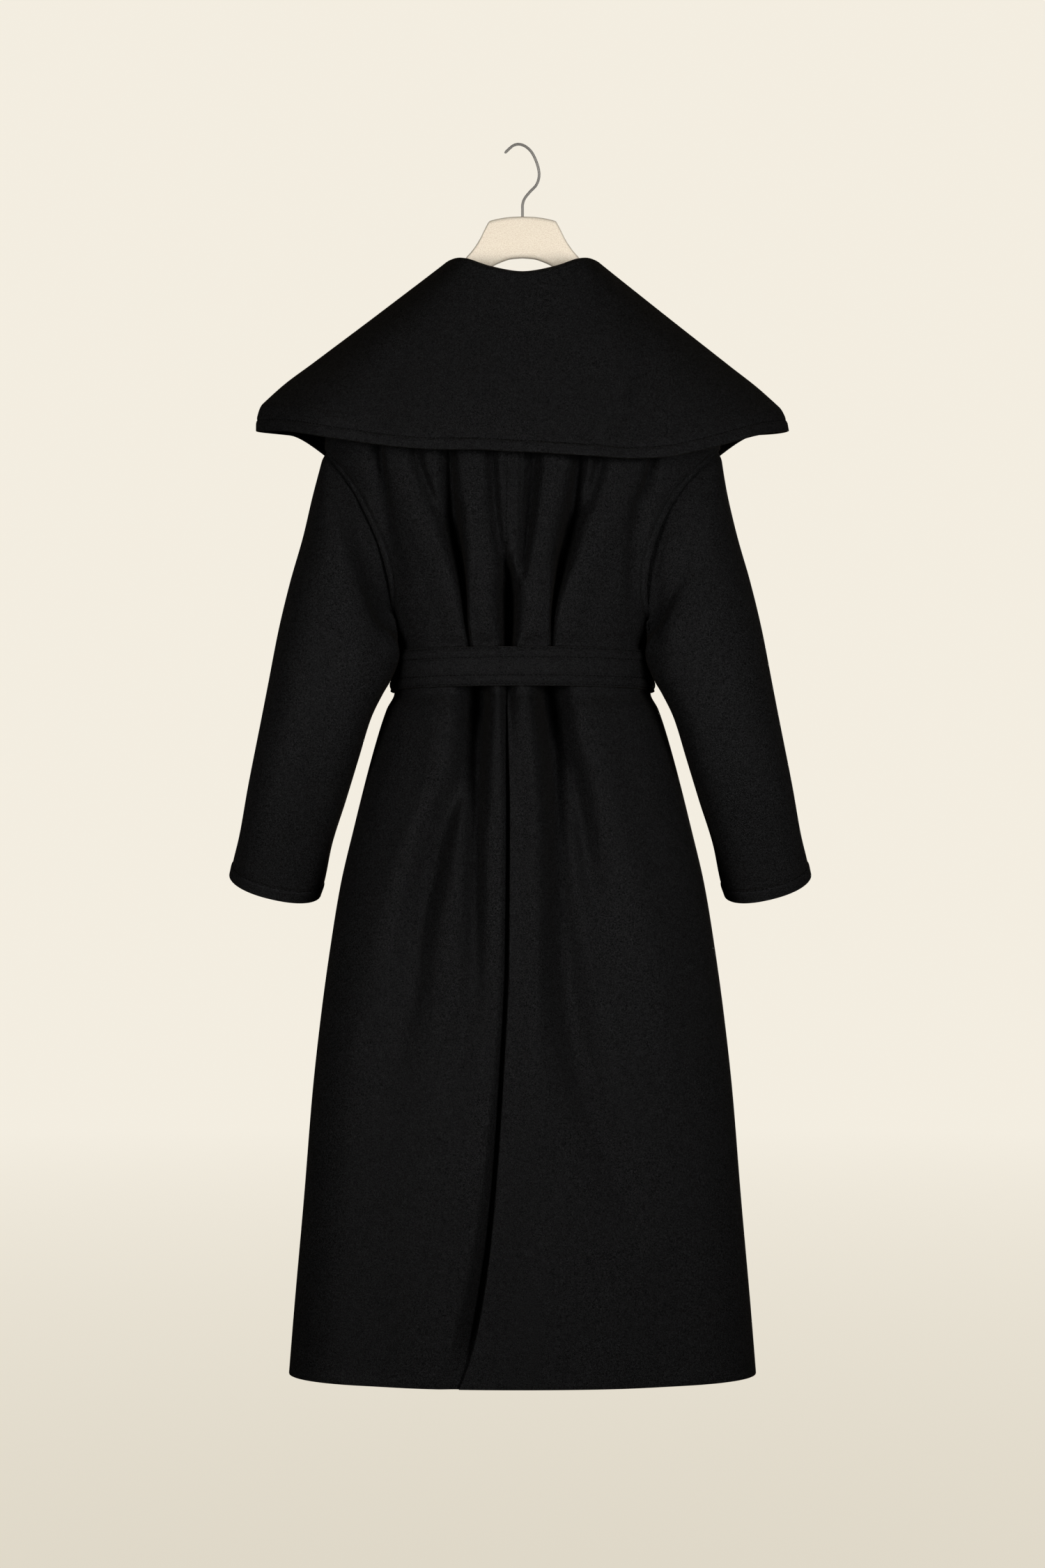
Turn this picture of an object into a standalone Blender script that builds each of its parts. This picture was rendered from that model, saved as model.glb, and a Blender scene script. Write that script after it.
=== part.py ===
"""Belted wool coat with a cape-like shawl collar, hung on a moulded hanger with a wire hook.

Metres, +Z up. The origin is the inside top of the hook, where it sits on a rail. The coat's back faces -Y,
+X is the wearer's right. Every cloth piece is a closed wall, 0.3 mm from its neighbour at a seam.
"""

import math
from collections import namedtuple

import bmesh
import bpy
import numpy as np

# Driving dimensions
CLOTH = 0.0026
COLLAR_CLOTH = 0.0040
BELT_CLOTH = 0.0040
SEAM_GAP = 0.0003
SECTION_POWER = 2.2

NECK_Z = -0.165
ARM_TOP_Z = -0.335
ARM_LOW_Z = -0.540
HEM_Z = -1.355

ARM_STEPS = 8
ARMHOLE_DIP = {-1: math.radians(29), 1: math.radians(38)}
FRONT_ARMHOLE_DIP = math.radians(36)

BACK_COLUMNS = 18
FRONT_COLUMNS = 10
COLUMN_CROWDING = 1.3

BELT_Z = -0.577
BELT_WIDTH = 0.043
BELT_TILT = 0.05
BELT_CLEARANCE = 0.0007
BELT_SEGMENTS = 56
BELT_END_LENGTH = 0.40
BELT_END_COLUMNS = 4
BELT_END_X = 0.0235
BELT_END_SPREAD = 0.016
BELT_END_DROP = 0.002
BELT_END_TOP_STEP = 0.004
BELT_END_LOW_STEP = 0.020
KNOT_SIZE = (0.056, 0.018, 0.052)
KNOT_ROWS = 8
KNOT_COLUMNS = 14
KNOT_WAIST = 0.16

COLLAR_ROLL_RADIUS = 0.0055
COLLAR_ROLL_ANGLES = (-85, -45, 0, 45, 85)
COLLAR_COLUMNS = 37
LAPEL_GAP = 0.0028
COLLAR_CORNER = 6
LAPEL_TURN = 0.010
LAPEL_LIFT = 0.005

CUFF_RAISE = 0.0011
CUFF_STEP = 0.0015
SLEEVE_SEAM_STEP = 9
SLEEVE_SHIFT = {-1: 0.0020, 1: -0.003}

HANGER_THICKNESS = 0.013
HANGER_ARM_HEIGHT = 0.026
HANGER_END_X = 0.186
HANGER_CORNERS = 3
HANGER_ROUNDING = 0.8
HANGER_CLEARANCE = 0.0005
HOOK_WIRE = 0.003
HOOK_ROUNDNESS = 2
HOOK_STEPS = 3
HOOK_TURN = math.radians(45)
SHARP_ANGLE = math.radians(50)

# Body sections: height, half width, depth of the back and depth of the front
Section = namedtuple("Section", "z half_width back_depth front_depth")
BODY_SECTIONS = [
    Section(-0.165, 0.0960, 0.055, 0.058),
    Section(-0.185, 0.1220, 0.062, 0.066),
    Section(-0.211, 0.1565, 0.067, 0.074),
    Section(-0.237, 0.1900, 0.073, 0.080),
    Section(-0.262, 0.2070, 0.078, 0.084),
    Section(-0.297, 0.2155, 0.083, 0.088),
    Section(-0.335, 0.2185, 0.088, 0.092),
    Section(-0.390, 0.2000, 0.093, 0.095),
    Section(-0.450, 0.1760, 0.096, 0.096),
    Section(-0.500, 0.1560, 0.096, 0.094),
    Section(-0.540, 0.1440, 0.092, 0.090),
    Section(-0.554, 0.1415, 0.088, 0.087),
    Section(-0.604, 0.1415, 0.088, 0.087),
    Section(-0.622, 0.1500, 0.094, 0.091),
    Section(-0.668, 0.1645, 0.102, 0.097),
    Section(-0.756, 0.1870, 0.108, 0.101),
    Section(-0.816, 0.2010, 0.111, 0.103),
    Section(-0.886, 0.2125, 0.113, 0.105),
    Section(-0.955, 0.2220, 0.115, 0.106),
    Section(-1.041, 0.2316, 0.116, 0.107),
    Section(-1.161, 0.2414, 0.117, 0.108),
    Section(-1.281, 0.2520, 0.118, 0.109),
    Section(-1.355, 0.2580, 0.118, 0.109),
]
SHOULDER_ROWS = [-0.165, -0.185, -0.211, -0.237, -0.262, -0.297]
WAIST_ROWS = [-0.554, -0.579, -0.604, -0.622]
SKIRT_ROWS = [-0.648, -0.685, -0.735, -0.805, -0.895, -1.005, -1.125, -1.245, HEM_Z]

# Folds: a trough runs from its top end to its low end, with a depth and a half width at each end
Fold = namedtuple("Fold", "x_top z_top x_low z_low depth_top depth_low width_top width_low")
BACK_FOLDS = [
    Fold(-0.082, -0.300, -0.059, -0.590, 0.004, 0.014, 0.016, 0.009),
    Fold(0.084, -0.300, 0.032, -0.590, 0.004, 0.015, 0.018, 0.010),
    Fold(-0.010, -0.420, -0.017, -0.575, 0.000, 0.014, 0.007, 0.008),
    Fold(-0.118, -0.300, -0.098, -0.520, 0.004, 0.002, 0.015, 0.013),
    Fold(-0.160, -0.330, -0.122, -0.550, 0.003, 0.006, 0.016, 0.013),
    Fold(0.140, -0.330, 0.103, -0.570, 0.003, 0.006, 0.018, 0.013),
    Fold(-0.027, -0.300, -0.033, -0.470, 0.004, 0.000, 0.010, 0.009),
    Fold(0.021, -0.300, 0.010, -0.480, 0.003, 0.000, 0.010, 0.008),
    Fold(-0.056, -0.580, -0.052, -0.680, 0.014, 0.008, 0.009, 0.013),
    Fold(-0.053, -0.680, -0.098, -0.900, 0.008, 0.003, 0.014, 0.024),
    Fold(0.029, -0.580, 0.041, -0.680, 0.015, 0.009, 0.009, 0.014),
    Fold(0.041, -0.680, 0.060, -1.120, 0.009, 0.003, 0.014, 0.028),
    Fold(0.052, -0.660, 0.100, -0.830, 0.004, 0.001, 0.014, 0.022),
    Fold(-0.044, -0.660, -0.046, -0.840, 0.004, 0.001, 0.009, 0.012),
    Fold(-0.100, -0.580, -0.150, -0.830, 0.004, 0.002, 0.014, 0.024),
    Fold(0.105, -0.580, 0.155, -0.850, 0.004, 0.002, 0.014, 0.024),
    Fold(-0.130, -0.950, -0.140, -1.340, 0.001, 0.005, 0.030, 0.034),
    Fold(0.120, -1.000, 0.150, -1.340, 0.001, 0.004, 0.030, 0.036),
]
FRONT_FOLDS = [
    Fold(-0.100, -0.420, -0.062, -0.590, 0.001, 0.009, 0.014, 0.010),
    Fold(0.098, -0.430, 0.066, -0.590, 0.001, 0.009, 0.014, 0.010),
    Fold(-0.128, -0.440, -0.108, -0.580, 0.002, 0.006, 0.014, 0.010),
    Fold(0.132, -0.440, 0.106, -0.580, 0.002, 0.006, 0.014, 0.010),
    Fold(-0.062, -0.580, -0.110, -0.900, 0.009, 0.002, 0.010, 0.026),
    Fold(0.066, -0.580, 0.100, -0.940, 0.009, 0.002, 0.010, 0.026),
    Fold(-0.106, -0.580, -0.160, -0.860, 0.005, 0.002, 0.012, 0.024),
    Fold(0.108, -0.580, 0.158, -0.880, 0.005, 0.002, 0.012, 0.024),
    Fold(-0.120, -0.960, -0.130, -1.340, 0.001, 0.005, 0.030, 0.036),
    Fold(0.125, -0.960, 0.140, -1.340, 0.001, 0.005, 0.030, 0.036),
]
FOLD_FADE = 0.030

# Centre-back line, and below the waist the lap of the right panel over the left
BackLine = namedtuple("BackLine", "z x lap tuck proud")
BACK_LINE = [
    BackLine(-0.165, 0.000, 0.000, 0.0000, 0.0000),
    BackLine(-0.450, -0.003, 0.000, 0.0000, 0.0000),
    BackLine(-0.560, -0.016, 0.000, 0.0000, 0.0000),
    BackLine(-0.604, -0.016, 0.000, 0.0030, 0.0000),
    BackLine(-0.648, -0.015, 0.000, 0.0065, 0.0010),
    BackLine(-0.735, -0.013, 0.008, 0.0075, 0.0015),
    BackLine(-0.895, -0.014, 0.022, 0.0080, 0.0020),
    BackLine(-1.005, -0.020, 0.028, 0.0085, 0.0025),
    BackLine(-1.125, -0.029, 0.032, 0.0090, 0.0030),
    BackLine(-1.245, -0.040, 0.036, 0.0095, 0.0030),
    BackLine(-1.355, -0.066, 0.040, 0.0075, 0.0020),
]
LAP_RUN = 0.024
PROUD_RUN = 0.045

# Front edge of the right panel: the open V of the neck, then the wrap over the left panel
FrontEdge = namedtuple("FrontEdge", "z x tuck")
FRONT_EDGE = [
    FrontEdge(-0.165, 0.0800, 0.0000),
    FrontEdge(-0.211, 0.0740, 0.0000),
    FrontEdge(-0.262, 0.0620, 0.0000),
    FrontEdge(-0.335, 0.0400, 0.0000),
    FrontEdge(-0.400, 0.0190, 0.0010),
    FrontEdge(-0.450, 0.0020, 0.0045),
    FrontEdge(-0.554, -0.0350, 0.0048),
    FrontEdge(-1.355, -0.0400, 0.0048),
]
FRONT_RUN = 0.030
FRONT_LEAD = 0.020

# Sleeve rings: outer and inner edge of the sleeve, its middle in depth, half depth, forward lean and
# twist in degrees, and the sideways skew of its back
Ring = namedtuple("Ring", "outer_x outer_z inner_x inner_z mid_y half_depth lean twist skew")
SLEEVE_RINGS = [
    Ring(0.2290, -0.385, 0.1490, -0.556, -0.006, 0.062, 0, 1, 0.008),
    Ring(0.2390, -0.432, 0.1470, -0.573, -0.014, 0.061, 0, 3, 0.012),
    Ring(0.2525, -0.482, 0.1468, -0.590, -0.022, 0.059, 0, 6, 0.013),
    Ring(0.2650, -0.535, 0.1490, -0.607, -0.027, 0.058, 1, 9, 0.012),
    Ring(0.2760, -0.590, 0.1600, -0.632, -0.029, 0.057, 3, 12, 0.008),
    Ring(0.2880, -0.648, 0.1750, -0.678, -0.023, 0.054, 8, 15, 0.004),
    Ring(0.3005, -0.706, 0.1905, -0.724, -0.009, 0.051, 13, 18, 0.000),
    Ring(0.3115, -0.760, 0.2090, -0.772, 0.010, 0.048, 17, 20, 0.000),
    Ring(0.3200, -0.791, 0.2200, -0.812, 0.025, 0.047, 20, 22, 0.000),
    Ring(0.3235, -0.805, 0.2255, -0.8275, 0.031, 0.046, 20, 22, 0.000),
]

# Collar stations from centre back to the end of the lapel: place on the neck seam (turn round the neck in
# degrees, then drop down the front edge), roll edge, outer edge and bow of the fall. A roll of None is
# worked out from the front edge.
Station = namedtuple("Station", "turn drop roll edge bow")
COLLAR_STATIONS = [
    Station(0, 0.000, (0.000, -0.061, -0.1485), (0.000, -0.113, -0.337), 0.003),
    Station(22, 0.000, (0.036, -0.057, -0.1420), (0.105, -0.110, -0.341), 0.004),
    Station(45, 0.000, (0.060, -0.044, -0.1325), (0.195, -0.092, -0.334), 0.008),
    Station(66, 0.000, (0.0695, -0.023, -0.1300), (0.258, -0.052, -0.321), 0.015),
    Station(90, 0.000, (0.0785, 0.000, -0.1325), (0.2925, 0.000, -0.3155), 0.020),
    Station(108, 0.000, (0.078, 0.024, -0.1410), (0.260, 0.058, -0.314), 0.014),
    Station(125, 0.000, (0.071, 0.049, -0.1600), (0.208, 0.094, -0.346), 0.009),
    Station(125, 0.050, None, (0.172, 0.092, -0.385), 0.006),
    Station(125, 0.110, None, (0.125, 0.098, -0.420), 0.004),
    Station(125, 0.165, None, (0.087, 0.103, -0.446), 0.003),
    Station(125, 0.210, None, (0.062, 0.105, -0.462), 0.002),
]

# The collar's edge hangs unevenly round the back: extra drop where the edge has this x
CollarDroop = namedtuple("CollarDroop", "x drop")
COLLAR_DROOP = [
    CollarDroop(-0.2925, 0.0000),
    CollarDroop(-0.2150, -0.0015),
    CollarDroop(-0.1430, 0.0017),
    CollarDroop(-0.0500, 0.0072),
    CollarDroop(0.0000, 0.0112),
    CollarDroop(0.0970, 0.0130),
    CollarDroop(0.1470, 0.0145),
    CollarDroop(0.2100, 0.0082),
    CollarDroop(0.2600, 0.0030),
    CollarDroop(0.2925, 0.0000),
]
COLLAR_SIDE = 4

# Fall of the collar from its roll to its edge: share of the way and share of the bow there
FallCut = namedtuple("FallCut", "share swell")
COLLAR_FALL = [
    FallCut(0.20, 0.22),
    FallCut(0.42, 0.46),
    FallCut(0.65, 0.72),
    FallCut(0.82, 0.90),
    FallCut(0.91, 0.88),
    FallCut(0.96, 0.55),
    FallCut(1.00, 0.00),
]

# Hanger outline: top and bottom edge at distances from the middle
HangerCut = namedtuple("HangerCut", "x top bottom")
HANGER_HEAD = [
    HangerCut(0.000, -0.0778, -0.1236),
    HangerCut(0.012, -0.0783, -0.1246),
    HangerCut(0.024, -0.0798, -0.1284),
    HangerCut(0.033, -0.0820, -0.1328),
    HangerCut(0.038, -0.0860, -0.1360),
    HangerCut(0.048, -0.1030, -0.1430),
    HangerCut(0.0635, -0.1250, -0.1560),
    HangerCut(0.080, -0.1535, -0.1780),
    HangerCut(0.091, -0.1682, -0.1910),
]
HANGER_ARM_STATIONS = [0.100, 0.125, 0.150, 0.170, 0.180, HANGER_END_X]
HANGER_END_TAPER = [0.0, 0.0, 0.0, 0.0004, 0.0025, 0.0070]

# Hook route in its own upright plane: distance across the view and height
HookPoint = namedtuple("HookPoint", "x z")
HOOK_ROUTE = [
    HookPoint(0.0000, -0.0775),
    HookPoint(0.0000, -0.0660),
    HookPoint(0.0075, -0.0520),
    HookPoint(0.0158, -0.0400),
    HookPoint(0.0185, -0.0285),
    HookPoint(0.0160, -0.0160),
    HookPoint(0.0095, -0.0040),
    HookPoint(0.0000, 0.0015),
    HookPoint(-0.0095, -0.0005),
    HookPoint(-0.0195, -0.0108),
]

# Material name: colour, roughness, metallic
MATERIALS = {
    "wool": ((0.012, 0.011, 0.010), 0.9, 0.0),
    "hanger_plastic": ((0.80, 0.68, 0.52), 0.55, 0.0),
    "hook_steel": ((0.55, 0.53, 0.50), 0.3, 1.0),
}


def clear_scene():
    for thing in list(bpy.data.objects):
        bpy.data.objects.remove(thing, do_unlink=True)


def material(name):
    found = bpy.data.materials.get(name)
    if found:
        return found
    colour, roughness, metallic = MATERIALS[name]
    made = bpy.data.materials.new(name)
    made.use_nodes = True
    shader = made.node_tree.nodes["Principled BSDF"]
    shader.inputs["Base Color"].default_value = (*colour, 1.0)
    shader.inputs["Roughness"].default_value = roughness
    shader.inputs["Metallic"].default_value = metallic
    return made


def add_object(name, points, faces, finish):
    mesh = bpy.data.meshes.new(name)
    mesh.from_pydata([tuple(point) for point in points], [], faces)
    form = bmesh.new()
    form.from_mesh(mesh)
    bmesh.ops.recalc_face_normals(form, faces=form.faces[:])
    form.to_mesh(mesh)
    form.free()
    mesh.shade_smooth()
    mesh.set_sharp_from_angle(angle=SHARP_ANGLE)
    mesh.materials.append(material(finish))
    made = bpy.data.objects.new(name, mesh)
    bpy.context.scene.collection.objects.link(made)
    return made


def unit(vector):
    return vector / np.linalg.norm(vector)


def smoothstep(value):
    held = min(max(value, 0.0), 1.0)
    return held * held * (3.0 - 2.0 * held)


def smooth_table(places, values, at):
    """A curve through the table that never overshoots its rows (monotone cubic)."""
    if at <= places[0]:
        return values[0]
    if at >= places[-1]:
        return values[-1]
    spans = np.diff(places)
    slopes = np.diff(values) / spans
    tangents = np.zeros(len(places))
    tangents[0] = slopes[0]
    tangents[-1] = slopes[-1]
    for k in range(1, len(places) - 1):
        if slopes[k - 1] * slopes[k] > 0:
            tangents[k] = 2.0 * slopes[k - 1] * slopes[k] / (slopes[k - 1] + slopes[k])
    k = int(np.searchsorted(places, at)) - 1
    t = (at - places[k]) / spans[k]
    start = (1 + 2 * t) * (1 - t) ** 2 * values[k] + t * (1 - t) ** 2 * spans[k] * tangents[k]
    finish = t * t * (3 - 2 * t) * values[k + 1] + t * t * (t - 1) * spans[k] * tangents[k + 1]
    return start + finish


def column(table, name, at):
    """The named column of a table whose rows go down in height, at a height."""
    places = [-row.z for row in table]
    values = [getattr(row, name) for row in table]
    return smooth_table(places, values, -at)


def bent(value):
    """Signed power that gives the sections their slightly squared shape."""
    return math.copysign(abs(value) ** (2.0 / SECTION_POWER), value)


def fold_depth(folds, x, z):
    total = 0.0
    for fold in folds:
        if z > fold.z_top + FOLD_FADE or z < fold.z_low - FOLD_FADE:
            continue
        along = (fold.z_top - z) / (fold.z_top - fold.z_low)
        held = min(max(along, 0.0), 1.0)
        middle = fold.x_top + (fold.x_low - fold.x_top) * along
        width = fold.width_top + (fold.width_low - fold.width_top) * held
        depth = fold.depth_top + (fold.depth_low - fold.depth_top) * held
        fade = smoothstep((fold.z_top + FOLD_FADE - z) / FOLD_FADE)
        fade *= smoothstep((z - fold.z_low + FOLD_FADE) / FOLD_FADE)
        total += depth * fade * math.exp(-(((x - middle) / width) ** 2))
    return total


def base_point(face, turn, z):
    """Point of the plain body: face is -1 for the back and 1 for the front, turn runs from the middle."""
    depth = column(BODY_SECTIONS, "back_depth" if face < 0 else "front_depth", z)
    x = column(BODY_SECTIONS, "half_width", z) * bent(math.sin(turn))
    return np.array([x, face * depth * bent(math.cos(turn)), z])


def surface_normal(point_at, turn, z):
    step_turn = 0.004
    step_z = 0.0005
    across = point_at(turn + step_turn, z) - point_at(turn - step_turn, z)
    up = point_at(turn, z + step_z) - point_at(turn, z - step_z)
    normal = unit(np.cross(across, up))
    point = point_at(turn, z)
    outward = np.array([point[0], point[1], 0.0])
    return normal if normal @ outward > 0 else -normal


def base_normal(face, turn, z):
    return surface_normal(lambda t, h: base_point(face, t, h), turn, z)


def lap_shift(face, side, x, z):
    """Inward shift of a panel where it passes under its fellow, outward where it lies over it."""
    if face < 0:
        line = column(BACK_LINE, "x", z)
        if side < 0:
            return column(BACK_LINE, "tuck", z) * smoothstep((x - line + LAP_RUN) / LAP_RUN)
        return -column(BACK_LINE, "proud", z) * smoothstep((line + PROUD_RUN - x) / PROUD_RUN)
    if side > 0:
        return 0.0
    edge = column(FRONT_EDGE, "x", z)
    return column(FRONT_EDGE, "tuck", z) * smoothstep((x - edge + FRONT_RUN + FRONT_LEAD) / FRONT_RUN)


def panel_point(face, side, turn, z):
    """Outer point of a body panel, with its folds and its lap. side is -1 for left and 1 for right."""
    plain = base_point(face, turn, z)
    folds = BACK_FOLDS if face < 0 else FRONT_FOLDS
    inward = fold_depth(folds, plain[0], z) + lap_shift(face, side, plain[0], z)
    return plain - base_normal(face, turn, z) * inward


def panel_normal(face, side, turn, z):
    return surface_normal(lambda t, h: panel_point(face, side, t, h), turn, z)


def turn_at(x, z):
    """Turn from the middle at which the body's section is x wide."""
    share = x / column(BODY_SECTIONS, "half_width", z)
    return math.asin(math.copysign(abs(share) ** (SECTION_POWER / 2.0), share))


def arm_heights():
    middle = (ARM_TOP_Z + ARM_LOW_Z) / 2
    half = (ARM_TOP_Z - ARM_LOW_Z) / 2
    return [middle + half * math.cos(math.pi * k / ARM_STEPS) for k in range(ARM_STEPS + 1)]


def arm_turn(face, side, z):
    """Turn of the armhole's edge: the side itself at the top and the underarm, towards the middle between."""
    middle = (ARM_TOP_Z + ARM_LOW_Z) / 2
    half = (ARM_TOP_Z - ARM_LOW_Z) / 2
    level = min(max((z - middle) / half, -1.0), 1.0)
    dip = ARMHOLE_DIP[side] if face < 0 else FRONT_ARMHOLE_DIP
    return math.pi / 2 - dip * math.sqrt(1.0 - level * level)


def body_rows():
    return SHOULDER_ROWS + arm_heights() + WAIST_ROWS + SKIRT_ROWS


def middle_x(face, side, z):
    """Where a panel ends at the middle: the centre-back seam or lap, or the front edge."""
    if face > 0:
        return side * column(FRONT_EDGE, "x", z)
    line = column(BACK_LINE, "x", z)
    if side > 0:
        return line + SEAM_GAP / 2
    return line - SEAM_GAP / 2 + column(BACK_LINE, "lap", z)


def side_turn(face, side, z):
    """Where a panel ends at the side: the shoulder or side seam, or the armhole between them."""
    turn = arm_turn(face, side, z)
    seam = math.pi / 2 - SEAM_GAP / 2 / column(BODY_SECTIONS, "back_depth", z)
    return side * min(turn, seam)


def build_panel(name, face, side):
    count = BACK_COLUMNS if face < 0 else FRONT_COLUMNS
    crowding = COLUMN_CROWDING if face < 0 else 1.0
    outer = []
    inner = []
    for z in body_rows():
        start = turn_at(middle_x(face, side, z), z)
        end = side_turn(face, side, z)
        shares = [(k / count) ** crowding for k in range(count + 1)]
        turns = [start + (end - start) * share for share in shares]
        row = [panel_point(face, side, turn, z) for turn in turns]
        normals = [panel_normal(face, side, turn, z) for turn in turns]
        outer.append(row)
        inner.append([point - normal * CLOTH for point, normal in zip(row, normals)])
    return add_wall(name, np.array(outer), np.array(inner), "wool")


def add_wall(name, outer, inner, finish, ring=False):
    """Closed wall between two grids of points, open at its four edges or joined into a ring."""
    rows, columns = outer.shape[:2]
    layer = rows * columns
    points = np.concatenate([outer.reshape(-1, 3), inner.reshape(-1, 3)])
    steps = columns if ring else columns - 1
    faces = []
    for r in range(rows - 1):
        for c in range(steps):
            a = r * columns + c
            b = r * columns + (c + 1) % columns
            faces.append((a, b, b + columns, a + columns))
            faces.append((layer + a, layer + a + columns, layer + b + columns, layer + b))
    for c in range(steps):
        for row, turned in ((0, False), (rows - 1, True)):
            a = row * columns + c
            b = row * columns + (c + 1) % columns
            faces.append((a, b, layer + b, layer + a) if turned else (b, a, layer + a, layer + b))
    if not ring:
        for r in range(rows - 1):
            for c, turned in ((0, False), (columns - 1, True)):
                a = r * columns + c
                b = a + columns
                # Split the same way on both sides of a seam, so that the two pieces stay parallel
                for edge in ((a, b, layer + b), (a, layer + b, layer + a)):
                    faces.append(tuple(reversed(edge)) if turned else edge)
    return add_object(name, points, faces, finish)


def grid_normals(grid):
    down = np.gradient(grid, axis=0)
    across = np.gradient(grid, axis=1)
    normals = np.cross(across, down)
    return normals / np.linalg.norm(normals, axis=2, keepdims=True)


def armhole_ring(side):
    """Outer points of the sleeve's first ring, butted against the armhole's edge, from the top round."""
    heights = arm_heights()
    stops = [(-1, z) for z in heights] + [(1, z) for z in reversed(heights[:-1])]
    places = []
    normals = []
    for face, z in stops:
        turn = side * arm_turn(face, side, z)
        places.append(panel_point(face, side, turn, z))
        normals.append(panel_normal(face, side, turn, z))
    centre = np.mean(places, axis=0)
    ring = []
    for k, (point, normal) in enumerate(zip(places, normals)):
        before = places[k - 1] if k else places[-2]
        after = places[k + 1] if k + 1 < len(places) else places[1]
        into = np.cross(normal, unit(after - before))
        if into @ (centre - point) < 0:
            into = -into
        low = smoothstep((centre[2] - point[2]) / (centre[2] - ARM_LOW_Z))
        ring.append(point + into * SEAM_GAP + normal * SEAM_GAP * low)
    return ring


def sleeve_ring(ring, side):
    outer_edge = np.array([side * (ring.outer_x + SLEEVE_SHIFT[side]), ring.mid_y, ring.outer_z])
    inner_edge = np.array([side * ring.inner_x, ring.mid_y, ring.inner_z])
    middle = (outer_edge + inner_edge) / 2
    half = (outer_edge - inner_edge) / 2
    lean = math.radians(ring.lean)
    back = np.array([-side * ring.skew, -ring.half_depth * math.cos(lean), -ring.half_depth * math.sin(lean)])
    points = []
    for k in range(2 * ARM_STEPS + 1):
        turn = math.pi * k / ARM_STEPS + math.radians(ring.twist)
        points.append(middle + half * bent(math.cos(turn)) + back * bent(math.sin(turn)))
    return points


def build_sleeve(side, word):
    rings = [np.array(sleeve_ring(ring, side)) for ring in SLEEVE_RINGS]
    band = unit(rings[-2].mean(axis=0) - rings[-1].mean(axis=0))
    rings.insert(-1, rings[-2] - band * CUFF_STEP)
    grid = np.array([armhole_ring(side)] + rings)
    # The grid repeats its first column at its end, so its normals are taken past that join
    padded = np.concatenate([grid[:, -2:-1], grid, grid[:, 1:2]], axis=1)
    normals = grid_normals(padded)[:, 1:-1]
    centres = grid.mean(axis=1, keepdims=True)
    signs = np.sign(np.sum(normals * (grid - centres), axis=2, keepdims=True))
    normals = normals * signs
    inner = grid - normals * CLOTH
    outer = grid.copy()
    outer[-2:] += normals[-2:] * CUFF_RAISE
    seam = SLEEVE_SEAM_STEP
    build_sleeve_piece("sleeve_under_" + word, outer[:, : seam + 1], inner[:, : seam + 1])
    build_sleeve_piece("sleeve_top_" + word, outer[:, seam:], inner[:, seam:])


def build_sleeve_piece(name, outer, inner):
    """One cut piece of a sleeve, drawn in by half the seam gap along both of its long edges."""
    outer = outer.copy()
    inner = inner.copy()
    for layer in (outer, inner):
        first = layer[:, 1] - layer[:, 0]
        last = layer[:, -2] - layer[:, -1]
        layer[:, 0] += first / np.linalg.norm(first, axis=1, keepdims=True) * SEAM_GAP / 2
        layer[:, -1] += last / np.linalg.norm(last, axis=1, keepdims=True) * SEAM_GAP / 2
    add_wall(name, outer, inner, "wool")


def neck_seam(turn, drop, side):
    """Middle of the neck edge's wall, the way out of the panel there, and the panel's normal."""
    if drop <= 0.0:
        face = -1 if turn <= math.pi / 2 else 1
        local = side * (turn if face < 0 else math.pi - turn)
        normal = panel_normal(face, side, local, NECK_Z)
        normal = unit(np.array([normal[0], normal[1], 0.0]))
        point = panel_point(face, side, local, NECK_Z)
        return point - normal * CLOTH / 2, np.array([0.0, 0.0, 1.0]), normal
    z = NECK_Z - drop
    local = front_edge_turn(z)
    point = panel_point(1, side, side * local, z)
    normal = panel_normal(1, side, side * local, z)
    step_turn = 0.02
    step_z = 0.01
    back = panel_point(1, side, side * (local + step_turn), z)
    below = panel_point(1, side, side * front_edge_turn(z - step_z), z - step_z)
    along = unit(below - point)
    way = point - back
    way = unit(way - along * (way @ along))
    return point - normal * CLOTH / 2, way, normal


def front_edge_turn(z):
    return turn_at(column(FRONT_EDGE, "x", z), z)


def collar_frame(place, side):
    """Seam point, roll edge, outer edge and bow at a place along the stations, mirrored to a side."""
    count = len(COLLAR_STATIONS)
    steps = list(range(1 - count, count))

    def read(values, mirror=1):
        return smooth_table(steps, [mirror * value for value in values[:0:-1]] + values, place)

    turn = math.radians(read([row.turn for row in COLLAR_STATIONS], -1))
    drop = read([row.drop for row in COLLAR_STATIONS])
    mirrors = (-1, 1, 1)
    edge = np.array([read([row.edge[k] for row in COLLAR_STATIONS], mirrors[k]) for k in range(3)])
    edge[0] *= side
    droop = smooth_table([row.x for row in COLLAR_DROOP], [row.drop for row in COLLAR_DROOP], edge[0])
    edge[2] -= droop * smoothstep(COLLAR_SIDE + 1 - place)
    base, way, normal = neck_seam(turn, drop, side)
    base = base + way * (SEAM_GAP + (LAPEL_GAP - SEAM_GAP) * smoothstep(place - COLLAR_CORNER + 1))
    rolls = []
    for row in COLLAR_STATIONS:
        if row.roll is not None:
            rolls.append(row.roll)
            continue
        seam, out, lift = neck_seam(math.radians(row.turn), row.drop, 1)
        rolls.append(tuple(seam + out * LAPEL_TURN + lift * LAPEL_LIFT))
    roll = np.array([read([point[k] for point in rolls], mirrors[k]) for k in range(3)])
    roll[0] *= side
    return base, roll, edge, read([row.bow for row in COLLAR_STATIONS])


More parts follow.
